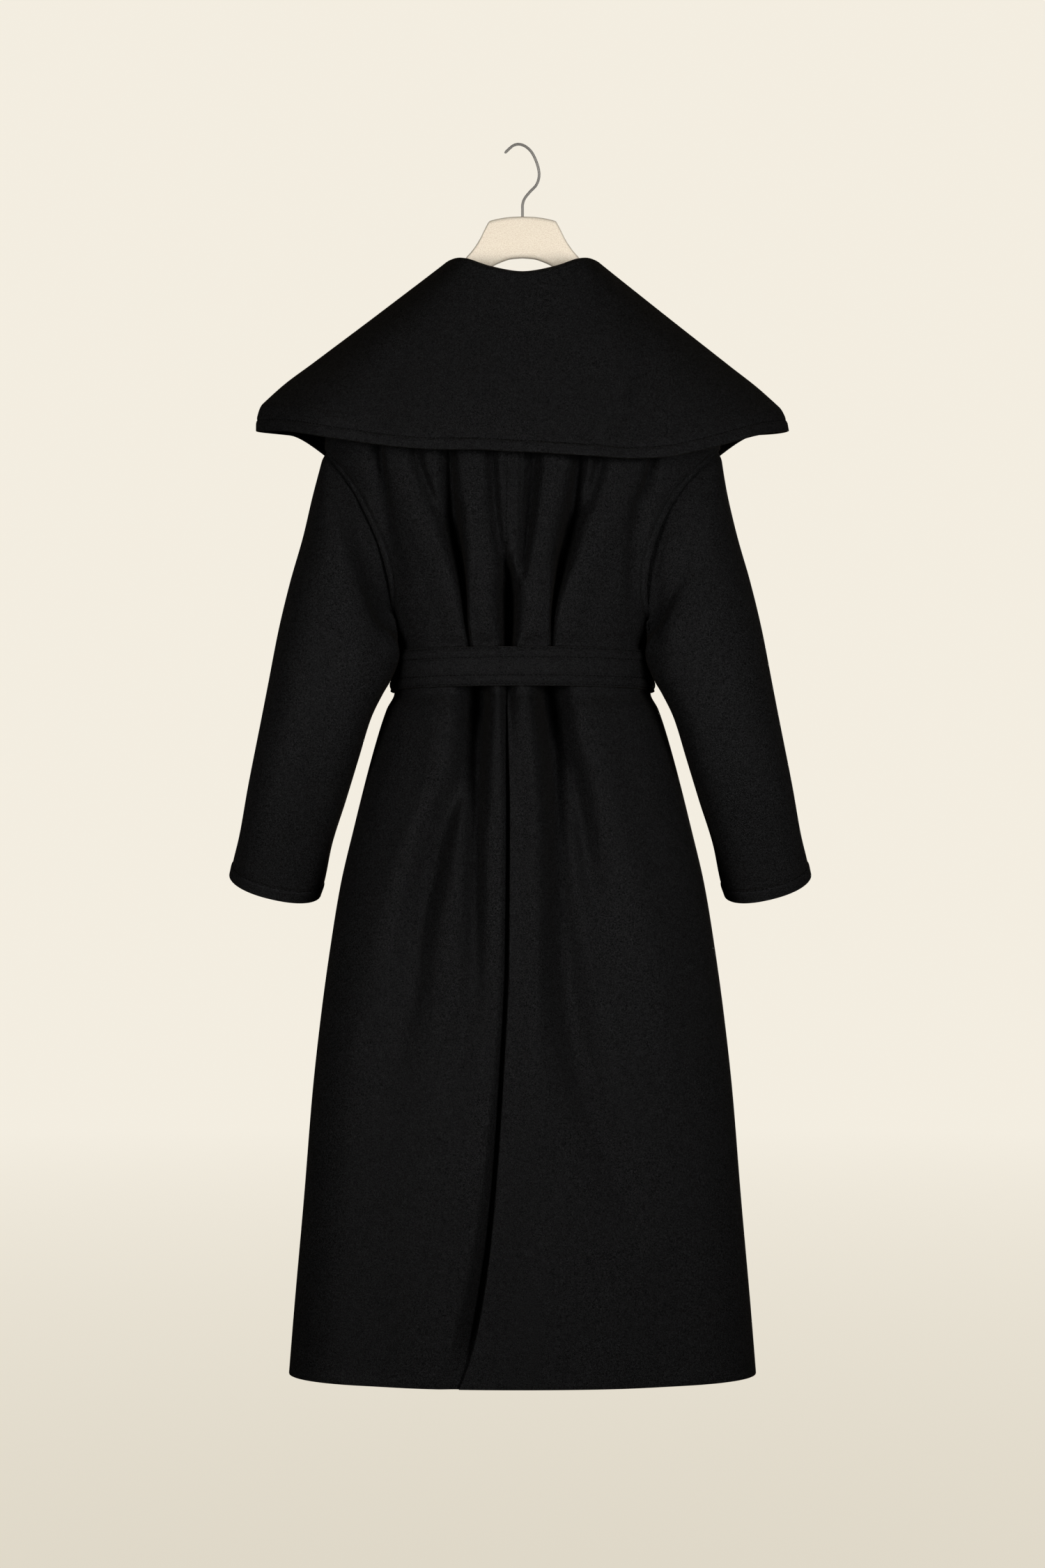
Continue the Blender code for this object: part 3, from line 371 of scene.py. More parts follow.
HANGER_HEAD = table("x top bottom", [
    (0, -77.8, -123.6), (12, -78.3, -124.6), (24, -79.8, -128.4), (33, -81.8, -132.8), (36.5, -83, -135),
    (38.5, -85.6, -136.3), (41.6, -91.5, -138.5), (48, -104.2, -143), (55.5, -115.2, -149),
    (63.5, -124.8, -156), (80, -153.5, -178), (91, -168.2, -191),
])
HANGER_ARM = table("x taper", [(100, 0), (125, 0), (150, 0), (170, 0.4), (180, 2.5), (186, 7)])
HANGER_END_X = HANGER_ARM[-1].x
HOOK_ROUTE = table("x z", [
    (0, -77.5), (0, -70.5), (0.2, -64), (2.4, -57.3), (8.2, -49), (15.5, -39.8), (18.5, -28.5), (16, -16),
    (9.5, -4), (0, 1.5), (-9.5, -0.5), (-19.5, -10.8),
])

# Fineness of the shells
SHOULDER_ROWS, WAIST_ROWS, SKIRT_ROWS = 40, 51, 100
SKIRT_Z = -0.66
BACK_COLUMNS, FRONT_COLUMNS = 164, 72
MIDDLE_FINENESS = 0.3
ARM_FINE = 64
SLEEVE_SEAM = 72
SLEEVE_HEAD_ROWS, SLEEVE_ROWS, CUFF_ROWS = 9, 110, 23
COLLAR_COLUMNS = 221
COLLAR_STAND_ROWS, COLLAR_ROLL_ROWS, COLLAR_FALL_ROWS, COLLAR_EDGE_ROWS = 8, 17, 44, 30
FALL_START = COLLAR_STAND_ROWS + COLLAR_ROLL_ROWS - 2
BELT_COLUMNS, BELT_ROWS, BELT_END_ROWS = 256, 41, 100
KNOT_ROWS, KNOT_COLUMNS = 48, 72
TOPSTITCH_POINTS = 60
HANGER_POINTS = (101, 32, 9)
CORNER_STEPS = 8
HOOK_POINTS, HOOK_SIDES = 150, 16
RIM_ANGLES = [math.radians(a) for a in (45, 90, 135)]
EDGE_SHARE = 0.6
TINY = 1e-9
LEVEL = np.array([1.0, 1.0, 0.0])
FLIP = np.array([-1.0, 1.0, 1.0])


def unit(vectors):
    return vectors / np.linalg.norm(vectors, axis=-1, keepdims=True)


def smoothstep(value):
    held = np.clip(value, 0.0, 1.0)
    return held * held * (3.0 - 2.0 * held)


def hump(distance, width, power=2.0):
    """Bell-shaped share across a distance: 1 in the middle, 0 far out."""
    return np.exp(-(np.abs(distance / width) ** power))


def bent(value):
    return np.sign(value) * np.abs(value) ** (2.0 / SECTION_POWER)


def run_along(points):
    """Distance of each point from the first one, along a line or along each row of a grid."""
    steps = np.linalg.norm(np.diff(points, axis=-2), axis=-1)
    return np.concatenate([np.zeros_like(steps[..., :1]), np.cumsum(steps, axis=-1)], axis=-1)


def smooth_table(places, values, at):
    """A curve through the table that never overshoots its rows. Values may be numbers, points or grids."""
    places = np.asarray(places, float)
    values = np.asarray(values, float)
    at = np.clip(np.asarray(at, float), places[0], places[-1])
    extra = (1,) * (values.ndim - 1)
    spans = np.diff(places)
    slopes = np.diff(values, axis=0) / spans.reshape(-1, *extra)
    product = slopes[:-1] * slopes[1:]
    total = np.where(product > 0, slopes[:-1] + slopes[1:], 1.0)
    bends = np.where(product > 0, 2.0 * product / total, 0.0)
    tangents = np.concatenate([slopes[:1], bends, slopes[-1:]])
    k = np.clip(np.searchsorted(places, at, side="right") - 1, 0, len(spans) - 1)
    span = spans[k].reshape(at.shape + extra)
    t = (at - places[k]).reshape(at.shape + extra) / span
    start = (1 + 2 * t) * (1 - t) ** 2 * values[k] + t * (1 - t) ** 2 * span * tangents[k]
    finish = t * t * (3 - 2 * t) * values[k + 1] + t * t * (t - 1) * span * tangents[k + 1]
    return start + finish


def column(rows, name, at, by="z"):
    """Curve through one column of a table, over another column that rises or falls all along."""
    places = np.array([getattr(row, by) for row in rows])
    way = np.sign(places[-1] - places[0])
    return smooth_table(way * places, [getattr(row, name) for row in rows], way * np.asarray(at, float))


def body(name, z):
    return column(BODY_SECTIONS, name, z)


def crease_depth(creases, x, z):
    """Depth below the plain form at places x, z, summed over the creases that reach there."""
    x, z = np.broadcast_arrays(np.asarray(x, float), np.asarray(z, float))
    total = np.zeros(x.shape)
    for power, rows in creases:
        if np.all(z > rows[0, 1]) or np.all(z < rows[-1, 1]):
            continue
        middle, depth, width = (smooth_table(-rows[:, 1], rows[:, k], -z) for k in (0, 2, 3))
        total += depth * hump(x - middle, width, power)
    return total


def groove(distance, place, width=GROOVE_WIDTH):
    """Shallow groove across a distance from an edge, as a depth below the cloth."""
    return GROOVE_DEPTH * hump(distance - place, width)


def base_point(face, turn, z):
    """Point of the plain body: face is -1 for the back and 1 for the front, turn runs from the middle."""
    turn, z = np.broadcast_arrays(np.asarray(turn, float), np.asarray(z, float))
    depth = body("back_depth" if face < 0 else "front_depth", z)
    x = body("half_width", z) * bent(np.sin(turn))
    return np.stack([x, face * depth * bent(np.cos(turn)), z], axis=-1)


def surface_normal(point_at, turn, z):
    step_turn = 0.004
    step_z = 0.0005
    across = point_at(turn + step_turn, z) - point_at(turn - step_turn, z)
    up = point_at(turn, z + step_z) - point_at(turn, z - step_z)
    normal = unit(np.cross(across, up))
    outward = np.sum(normal * point_at(turn, z) * LEVEL, axis=-1, keepdims=True)
    return np.where(outward > 0, normal, -normal)


def base_normal(face, turn, z):
    return surface_normal(lambda t, h: base_point(face, t, h), turn, z)


def lap_shift(face, side, x, z):
    """Inward shift of a panel where it passes under its fellow, outward where it lies over it."""
    if face < 0:
        line = column(BACK_LINE, "x", z)
        if side < 0:
            return column(BACK_LINE, "tuck", z) * smoothstep((x - line) / column(BACK_LINE, "run", z) + 1.0)
        return -column(BACK_LINE, "proud", z) * smoothstep((line + PROUD_RUN - x) / PROUD_RUN)
    if side > 0:
        return np.zeros(np.shape(x))
    edge = column(FRONT_EDGE, "x", z)
    return column(FRONT_EDGE, "tuck", z) * smoothstep((x - edge + FRONT_RUN + FRONT_LEAD) / FRONT_RUN)


def back_seam(side, x, z):
    """Dip of the back panels into the centre seam, and of the left one under its topstitching."""
    line = column(BACK_LINE, "x", z)
    dip = SEAM_DIP * hump(x - line, SEAM_DIP_WIDTH) * smoothstep((z - BELT_Z) / SEAM_DIP_RUN)
    if side < 0:
        dip = dip + groove(line - x, TOPSTITCH_OFF) * smoothstep((z - TOPSTITCH_LOW) / TOPSTITCH_RUN)
    return dip


def panel_point(face, side, turn, z):
    plain = base_point(face, turn, z)
    x, height = plain[..., 0], plain[..., 2]
    creases = BACK_CREASES if face < 0 else FRONT_CREASES
    inward = crease_depth(creases, x, height) + lap_shift(face, side, x, height)
    if face < 0:
        inward = inward + back_seam(side, x, height)
    return plain - unit(base_normal(face, turn, z) * LEVEL) * inward[..., None]


def panel_normal(face, side, turn, z):
    return surface_normal(lambda t, h: panel_point(face, side, t, h), turn, z)


def turn_at(x, z):
    share = x / body("half_width", z)
    return np.arcsin(np.sign(share) * np.abs(share) ** (SECTION_POWER / 2.0))


def arm_heights():
    return ARM_MIDDLE_Z + ARM_HALF * np.cos(np.pi * np.arange(ARM_FINE + 1) / ARM_FINE)


def arm_turn(face, side, z):
    level = np.clip((z - ARM_MIDDLE_Z) / ARM_HALF, -1.0, 1.0)
    dip = ARMHOLE_DIP[side] if face < 0 else FRONT_ARMHOLE_DIP
    return np.pi / 2 - dip * np.sqrt(1.0 - level * level)


def middle_x(face, side, z):
    if face > 0:
        return side * column(FRONT_EDGE, "x", z)
    line = column(BACK_LINE, "x", z)
    if side > 0:
        return line - SEAM_PRESS
    return line + SEAM_PRESS + column(BACK_LINE, "lap", z)


def side_turn(face, side, z):
    seam = np.pi / 2 + SEAM_PRESS / body("back_depth", z)
    return side * np.where((z < ARM_TOP_Z) & (z > ARM_LOW_Z), arm_turn(face, side, z), seam)


def grid_normals(grid, hint, closed=0):
    """Unit normals of a grid of points, on the side that hint points to. Closed is 1 for a grid that closes
    on itself, and 2 if its last column repeats its first."""
    across = np.gradient(grid, axis=1)
    if closed:
        padded = np.concatenate([grid[:, [-closed]], grid, grid[:, [closed - 1]]], axis=1)
        across = (padded[:, 2:] - padded[:, :-2]) / 2
    normals = unit(np.cross(across, np.gradient(grid, axis=0)))
    return normals if np.sum(normals * hint) > 0 else -normals


def lifted(grid, hint, height, closed=0):
    """The grid moved out by a height, and its normals then."""
    grid = grid + grid_normals(grid, hint, closed) * height[..., None]
    return grid, grid_normals(grid, hint, closed)


def drawn_in(grid, amount, closed):
    """The grid with its open edges drawn in by amount, or by most of a cell where cells are smaller."""
    made = grid.copy()
    edges = [(np.s_[0], np.s_[1]), (np.s_[-1], np.s_[-2])]
    if not closed:
        edges += [(np.s_[:, 0], np.s_[:, 1]), (np.s_[:, -1], np.s_[:, -2])]
    for edge, beside in edges:
        way = grid[beside] - grid[edge]
        length = np.linalg.norm(way, axis=-1, keepdims=True)
        made[edge] += way / np.maximum(length, TINY) * np.minimum(amount, EDGE_SHARE * length)
    return made


def add_mesh(name, points, faces, finish, node=None):
    """A closed mesh that rides the part, with its faces turned outwards. It may replace a node."""
    mesh = bpy.data.meshes.new(name)
    mesh.from_pydata(points.tolist(), [], [tuple(face) for face in faces])
    mesh.shade_smooth()
    mesh.materials.append(finish)
    work = bmesh.new()
    work.from_mesh(mesh)
    bmesh.ops.recalc_face_normals(work, faces=work.faces)
    work.to_mesh(mesh)
    work.free()
    made = bpy.data.objects.new(name, mesh)
    bpy.context.scene.collection.objects.link(made)
    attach(made, "root")
    if node:
        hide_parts(node)
    return made


def grid_faces(rows, columns, closed=False):
    steps = columns if closed else columns - 1
    r, c = np.meshgrid(np.arange(rows - 1), np.arange(steps), indexing="ij")
    a = (r * columns + c).ravel()
    b = (r * columns + (c + 1) % columns).ravel()
    return np.stack([a, b, b + columns, a + columns], axis=1)


def tube_faces(count, sides):
    """Faces of a tube through rings of points: its wall and a cap on each end."""
    caps = [tuple(range(sides))[::-1], tuple(range((count - 1) * sides, count * sides))]
    return [tuple(face) for face in grid_faces(count, sides, closed=True)] + caps


def add_tube(name, node, rings, finish):
    return add_mesh(name, rings.reshape(-1, 3), tube_faces(*rings.shape[:2]), finish, node)


def edge_loops(rows, columns, closed):
    index = np.arange(rows * columns).reshape(rows, columns)
    if closed:
        return [index[0][::-1], index[-1]]
    return [np.concatenate([index[0, ::-1], index[1:, 0], index[-1, 1:], index[-2:0:-1, -1]])]


def add_shell(node, outer, normals, thickness, finish, closed=False):
    """Closed cloth wall under a grid of outer points, with its open edges rounded within the grid's reach."""
    rows, columns = outer.shape[:2]
    inner = outer - normals * thickness
    reach = (outer + inner) / 2
    outer = drawn_in(outer, thickness / 2, closed).reshape(-1, 3)
    inner = drawn_in(inner, thickness / 2, closed).reshape(-1, 3)
    middle = (outer + inner) / 2
    half = (outer - inner) / 2
    beyond = reach.reshape(-1, 3) - middle
    points = [outer, inner]
    count = rows * columns
    over = grid_faces(rows, columns, closed)
    faces = [over[:, ::-1], over + count]
    total = 2 * count
    for loop in edge_loops(rows, columns, closed):
        rings = [loop]
        for angle in RIM_ANGLES:
            points.append(middle[loop] + half[loop] * math.cos(angle) + beyond[loop] * math.sin(angle))
            rings.append(np.arange(total, total + len(loop)))
            total += len(loop)
        rings.append(loop + count)
        for first, second in zip(rings, rings[1:]):
            faces.append(np.stack([first, np.roll(first, -1), np.roll(second, -1), second], axis=1))
    return add_mesh("cloth_" + node, np.concatenate(points), np.concatenate(faces), finish, node=node)


def on_line(along, rows, at):
    return np.array([np.interp(at, along, rows[:, axis]) for axis in range(3)])


def sew(name, lines, finish, closed=False):
    """Rows of short raised stitches. A line is a pair of arrays: points, and the cloth's normals there."""
    turn = 2 * np.pi * np.arange(STITCH_SIDES)[:, None] / STITCH_SIDES
    half = STITCH_LENGTH / 2
    wall = tube_faces(len(STITCH_CUTS), STITCH_SIDES)
    points = []
    faces = []
    for line, normals in lines:
        if closed:
            line, normals = (np.concatenate([rows, rows[:1]]) for rows in (line, normals))
        along = run_along(line)
        count = int((along[-1] - STITCH_LENGTH) / STITCH_PITCH)
        for middle in np.linspace(half, along[-1] - half, count + 1):
            start = on_line(along, line, middle - half)
            way = on_line(along, line, middle + half) - start
            up = unit(on_line(along, normals, middle))
            ring = unit(np.cross(up, way)) * np.cos(turn) + up * np.sin(turn)
            base = STITCH_SIDES * len(points)
            faces += [tuple(base + corner for corner in face) for face in wall]
            for share, girth, lift in STITCH_CUTS:
                points.append(start + way * share + STITCH_WIDTH / 2 * (girth * ring + up * lift))
    return add_mesh("stitches_" + name, np.concatenate(points), faces, finish)


def panel_rows():
    shoulder = np.linspace(NECK_Z, ARM_TOP_Z, SHOULDER_ROWS)[:-1]
    waist = np.linspace(ARM_LOW_Z, SKIRT_Z, WAIST_ROWS)[1:]
    skirt = np.linspace(SKIRT_Z, HEM_Z, SKIRT_ROWS)[1:]
    return np.concatenate([shoulder, arm_heights(), waist, skirt])


def build_panel(node, face, side, finish):
    z = panel_rows()[:, None]
    share = np.linspace(0.0, 1.0, (BACK_COLUMNS if face < 0 else FRONT_COLUMNS) + 1)[None, :]
    share = share + MIDDLE_FINENESS * (share * share - share)
    start = turn_at(middle_x(face, side, z), z)
    turn = start + (side_turn(face, side, z) - start) * share
    outer = panel_point(face, side, turn, z)
    to_side = run_along(outer[:, ::-1])[:, ::-1]
    sewn = smoothstep((ARM_TOP_Z - z) / ARMHOLE_RUN) * smoothstep((z - ARM_LOW_Z) / ARMHOLE_RUN)
    hint = base_normal(face, turn, z)
    ridge = ARMHOLE_RIDGE * smoothstep((ARMHOLE_STITCH - to_side) / ARMHOLE_RIDGE_RUN)
    ridge = ridge - groove(to_side, ARMHOLE_STITCH, ARMHOLE_GROOVE_WIDTH)
    return add_shell(node, *lifted(outer, hint, ridge * sewn), CLOTH, finish)


def armhole_ring(side):
    """Outer points of the body's armhole edge, their normals, and the way into the hole."""
    heights = arm_heights()
    places = []
    normals = []
    for face, levels in ((-1, heights), (1, heights[-2::-1])):
        turn = side * arm_turn(face, side, levels)
        places.append(panel_point(face, side, turn, levels))
        normals.append(panel_normal(face, side, turn, levels))
    places = np.concatenate(places)
    normals = np.concatenate(normals)
    after = np.concatenate([places[1:], places[1:2]])
    before = np.concatenate([places[-2:-1], places[:-1]])
    into = np.cross(normals, unit(after - before))
    inward = np.sum(into * (places.mean(axis=0) - places), axis=1, keepdims=True)
    return places, normals, np.where(inward < 0, -into, into)


def sleeve_ring(ring, side):
    outer_edge = np.array([side * (ring.outer_x + SLEEVE_SHIFT[side]), ring.mid_y, ring.outer_z])
    inner_edge = np.array([side * ring.inner_x, ring.mid_y, ring.inner_z])
    middle = (outer_edge + inner_edge) / 2
    half = (outer_edge - inner_edge) / 2
    lean = math.radians(ring.lean_deg)
    back = np.array([-side * ring.skew, -ring.half_depth * math.cos(lean), -ring.half_depth * math.sin(lean)])
    turn = (np.pi * np.arange(2 * ARM_FINE + 1) / ARM_FINE + math.radians(ring.twist_deg))[:, None]
    return middle + half * bent(np.cos(turn)) + back * bent(np.sin(turn))


def pushed_out(grid, ease):
    """Points moved out of the body and the belt, by as much as ease, from 0 to 1, allows."""
    x, y, z = np.moveaxis(grid, -1, 0)
    near_belt = smoothstep((BELT_WIDTH / 2 + BELT_NEAR - np.abs(z - BELT_Z - BELT_NEAR_RISE)) / BELT_NEAR_RUN)
    margin = SIDE_MARGIN + (BELT_MARGIN - SIDE_MARGIN) * near_belt
    wide = body("half_width", z) + margin
    deep = np.where(y < 0, body("back_depth", z), body("front_depth", z)) + margin
    reach = (np.abs(x) / wide) ** SECTION_POWER + (np.abs(y) / deep) ** SECTION_POWER
    scale = 1.0 + (np.maximum(1.0, reach ** (-1.0 / SECTION_POWER)) - 1.0) * ease
    return grid * np.stack([scale, scale, np.ones_like(scale)], axis=-1)


def sleeve_grid(side):
    """Outer points of a sleeve from under the body's edge to the cuff, and each row's way to the cuff."""
    first, normals, into = armhole_ring(side)
    rings = np.array([first + into * SEAM_GAP] + [sleeve_ring(ring, side) for ring in SLEEVE_RINGS])
    steps = np.linalg.norm(np.diff(rings, axis=0), axis=-1).mean(axis=1)
    places = np.concatenate([[0.0], np.cumsum(steps)])
    length = places[-1]
    cuff = length - CUFF_ZONE
    along = np.concatenate([
        np.linspace(0.0, SLEEVE_HEAD, SLEEVE_HEAD_ROWS)[:-1],
        np.linspace(SLEEVE_HEAD, cuff, SLEEVE_ROWS),
        np.linspace(cuff, length, CUFF_ROWS)[1:],
    ])
    grid = smooth_table(places, rings, along)
    mirror = np.array([side, 1.0, 1.0])
    near = np.exp(-np.sum((grid - mirror * TUCK_PLACE) ** 2, axis=-1, keepdims=True) / TUCK_REACH ** 2)
    grid = pushed_out(grid + mirror * TUCK_MOVE * near, smoothstep((along[:, None] - PUSH_START) / PUSH_RUN))
    low = ARMHOLE_DEPTH[-1] * (1.0 - smoothstep(along / ARMHOLE_RISE))
    grid = grid - normals[None] * low[:, None, None]
    under = [first - into * way - normals * deep for way, deep in zip(ARMHOLE_UNDER, ARMHOLE_DEPTH)]
    return np.concatenate([np.array(under), grid]), np.concatenate([[length, length], length - along])


def build_sleeve(side, word, finish):
    grid, left = sleeve_grid(side)
    hint = grid - grid.mean(axis=1, keepdims=True)
    cuff = CUFF_RAISE * smoothstep((CUFF_BAND - left) / CUFF_RUN) - groove(left, CUFF_BAND)
    on_back = smoothstep(-HOLLOW_FADE * grid_normals(grid, hint, closed=2)[..., 1])
    hollow = crease_depth(SLEEVE_CREASES[side], grid[..., 0], grid[..., 2]) * on_back
    grid, normals = lifted(grid, hint, cuff[:, None] - hollow, closed=2)
    halves = (("sleeve_under_", np.s_[:, : SLEEVE_SEAM + 1]), ("sleeve_top_", np.s_[:, SLEEVE_SEAM:]))
    made = [add_shell(name + word, grid[part], normals[part], CLOTH, finish) for name, part in halves]
    row = int(np.argmin(np.abs(left - CUFF_BAND)))
    return made, [(grid[row], normals[row])]


def centre_lines():
    """Topstitching beside the centre-back seam, on the left panel."""
    z = np.linspace(TOPSTITCH_TOP, TOPSTITCH_LOW, TOPSTITCH_POINTS)
    turn = turn_at(column(BACK_LINE, "x", z) - TOPSTITCH_OFF, z)
    return [(panel_point(-1, -1, turn, z), panel_normal(-1, -1, turn, z))]


def front_edge_turn(z):
    return turn_at(column(FRONT_EDGE, "x", z), z)


def neck_seam(turn, drop, side):
    """Middle of the neck edge's wall, the way out of the panel there, and the panel's normal."""
    if drop <= 0.0:
        face = -1 if turn <= math.pi / 2 else 1
        local = side * (turn if face < 0 else math.pi - turn)
        normal = unit(panel_normal(face, side, local, NECK_Z) * LEVEL)
        return panel_point(face, side, local, NECK_Z) - normal * CLOTH / 2, np.array([0.0, 0.0, 1.0]), normal
    z = NECK_Z - drop
    step_turn = 0.02
    step_z = 0.01
    local = front_edge_turn(z)
    point = panel_point(1, side, side * local, z)
    normal = panel_normal(1, side, side * local, z)
    back = panel_point(1, side, side * (local + step_turn), z)
    below = panel_point(1, side, side * front_edge_turn(z - step_z), z - step_z)
    along = unit(below - point)
    way = point - back
    return point - normal * CLOTH / 2, unit(way - along * (way @ along)), normal


def collar_rolls():
    rolls = []
    for row in COLLAR_STATIONS:
        if row.roll is None:
            seam, out, lift = neck_seam(math.radians(row.turn_deg), row.drop, 1)
            rolls.append(seam + out * LAPEL_TURN + lift * LAPEL_LIFT)
        else:
            rolls.append(row.roll)
    return rolls


def collar_profile(base, roll, edge, bow):
    """Middle line of the collar's wall: up the stand, over the roll and down the fall."""
    down_in = unit(base - roll)
    down_out = unit(edge - roll)
    apex = -unit(down_in + down_out)
    wide = unit(down_out - apex * (down_out @ apex))
    angle = np.linspace(-COLLAR_ROLL_ARC, COLLAR_ROLL_ARC, COLLAR_ROLL_ROWS)[:, None]
    arc = roll + COLLAR_ROLL_RADIUS * (np.cos(angle) * apex + np.sin(angle) * wide - apex)
    stand = base + (arc[0] - base) * np.linspace(0.0, 1.0, COLLAR_STAND_ROWS)[:-1, None]
    fall = edge - arc[-1]
    outward = unit(apex - unit(fall) * (apex @ unit(fall)))
    share = np.concatenate([np.linspace(0.0, COLLAR_EDGE_SHARE, COLLAR_FALL_ROWS)[1:],
                            np.linspace(COLLAR_EDGE_SHARE, 1.0, COLLAR_EDGE_ROWS)[1:]])
    swell = smooth_table(*COLLAR_FALL, share)
    down = arc[-1] + fall * share[:, None] + outward * bow * swell[:, None]
    return np.concatenate([stand, arc, down])


def build_collar(finish):
    last = len(COLLAR_STATIONS) - 1
    places = np.linspace(-last, last, COLLAR_COLUMNS)

    def stations(name, mirror=1):
        """A column of the stations over both sides of the collar, mirrored from one side to the other."""
        listed = collar_rolls() if name == "roll" else [getattr(row, name) for row in COLLAR_STATIONS]
        right = np.array(listed)
        both = np.concatenate([right[:0:-1] * mirror, right])
        return smooth_table(np.arange(-last, last + 1), both, places)

    turns = np.radians(stations("turn_deg", -1))
    edges = stations("edge", FLIP)
    bows = stations("bow") * np.where(places > 0, COLLAR_RIGHT_BOW, 1.0)
    droop = column(COLLAR_DROOP, "drop", edges[:, 0], by="x")
    edges[:, 2] -= droop * smoothstep(COLLAR_SIDE + 1 - np.abs(places))
    grid = []
    for place, turn, drop, edge, roll, bow in zip(
            places, turns, stations("drop"), edges, stations("roll", FLIP), bows):
        base, way, _ = neck_seam(abs(turn), drop, 1 if place >= 0 else -1)
        gap = SEAM_GAP + (LAPEL_GAP - SEAM_GAP) * smoothstep(abs(place) - COLLAR_CORNER + 1)
        grid.append(collar_profile(base + way * gap, roll, edge, bow))
    grid = np.array(grid)
    to_edge = run_along(grid[:, ::-1])[:, ::-1]
    share = np.clip(1.0 - to_edge / to_edge[:, FALL_START: FALL_START + 1], 0.0, 1.0)
    hint = np.zeros_like(grid)
    hint[:, FALL_START + COLLAR_ROLL_ROWS // 2:] = [0.0, 0.0, 1.0]
    dents = crease_depth(COLLAR_CREASES, grid[..., 0], grid[..., 2])
    dents = dents * smoothstep((DENT_Y - grid[..., 1]) / DENT_RUN) * smoothstep(share / DENT_SHARE)
    band = COLLAR_BAND_RAISE * smoothstep((COLLAR_BAND - to_edge) / COLLAR_BAND_RUN)
    grid, normals = lifted(grid, hint, band - groove(to_edge, COLLAR_BAND) - dents)
    outer = grid + normals * COLLAR_CLOTH / 2
    made = add_shell("collar", outer, normals, COLLAR_CLOTH, finish)
    pick = np.arange(len(grid)), np.argmin(np.abs(to_edge - COLLAR_BAND), axis=1)
    return made, [(outer[pick], normals[pick])]


def belt_place(turn, drop, offset):
    """Points on the belt: turn runs round the body from centre back, drop is below the belt's middle."""
    turn, drop = np.broadcast_arrays(turn, drop)
    points = np.empty(turn.shape + (3,))
    for face in (-1, 1):
        here = (np.cos(turn) >= 0) if face < 0 else (np.cos(turn) < 0)
        local = turn[here] if face < 0 else np.pi - turn[here]
        local = np.arctan2(np.sin(local), np.cos(local))
        flat = base_point(face, local, BELT_Z)
        z = BELT_Z - BELT_TILT * (flat[:, 1] + body("back_depth", BELT_Z)) - drop[here]
        points[here] = base_point(face, local, z) + base_normal(face, local, z) * offset
    return points


def belt_front(drop, offset):
    """One point of the belt at centre front."""
    return belt_place(np.array([np.pi]), np.array([drop]), offset)[0]


def belt_raise(drop):
    """Height of the belt's stitched bands at a distance from its middle line."""
    edge = BELT_WIDTH / 2 - np.abs(drop)
    puff = np.sin(np.pi * np.clip((edge - BELT_ROW_OUT) / (BELT_ROW_IN - BELT_ROW_OUT), 0.0, 1.0))
    return BELT_BAND_RAISE * puff - groove(edge, BELT_ROW_OUT) - groove(edge, BELT_ROW_IN)


def belt_rows(drops):
    """Numbers of the grid lines nearest the belt's four rows of stitches."""
    out, inner = BELT_WIDTH / 2 - BELT_ROW_OUT, BELT_WIDTH / 2 - BELT_ROW_IN
    return [int(np.argmin(np.abs(drops - row))) for row in (-out, -inner, inner, out)]


def build_belt(finish):
    turn = (2 * np.pi * np.arange(BELT_COLUMNS) / BELT_COLUMNS)[None, :]
    drop = np.linspace(-BELT_WIDTH / 2, BELT_WIDTH / 2, BELT_ROWS)[:, None]
    outer = belt_place(turn, drop, BELT_CLEARANCE + BELT_CLOTH)
    normals = grid_normals(outer, outer * LEVEL, closed=1)
    raised = outer + normals * belt_raise(drop)[..., None]
    made = add_shell("belt_band", raised, normals, BELT_CLOTH, finish, closed=True)
    return made, [(raised[k], normals[k]) for k in belt_rows(drop[:, 0])]


def build_belt_end(word, side, finish):
    top = belt_front(KNOT_SIZE[2] / 2 + BELT_END_DROP, 0.0)[2]
    z = np.linspace(top, top - BELT_END_LENGTH, BELT_END_ROWS)[:, None]
    across = np.linspace(-BELT_WIDTH / 2, BELT_WIDTH / 2, BELT_ROWS)[None, :]
    lead = smoothstep(1.0 - (top - z) / BELT_END_LEAD)
    middle = BELT_END_X + BELT_END_SPREAD * (top - z) / BELT_END_LENGTH - BELT_END_DRAW * lead
    turn = turn_at(side * middle + across * (1.0 - BELT_END_PINCH * lead), z)
    outer = base_point(1, turn, z) + base_normal(1, turn, z) * (BELT_CLEARANCE + BELT_CLOTH)
    outer = outer + lead[..., None] * np.array([0.0, BELT_END_FORWARD, BELT_END_RISE])
    outer[..., 1] += lead * BELT_END_PLEAT * np.cos(2 * np.pi * BELT_END_PLEATS * across / BELT_WIDTH)
    normals = grid_normals(outer, np.array([0.0, 1.0, 0.0]))
    raised = outer + normals * belt_raise(across)[..., None]
    made = add_shell("belt_end_" + word, raised, normals, BELT_CLOTH, finish)
    return made, [(raised[:, k], normals[:, k]) for k in belt_rows(across[0])]


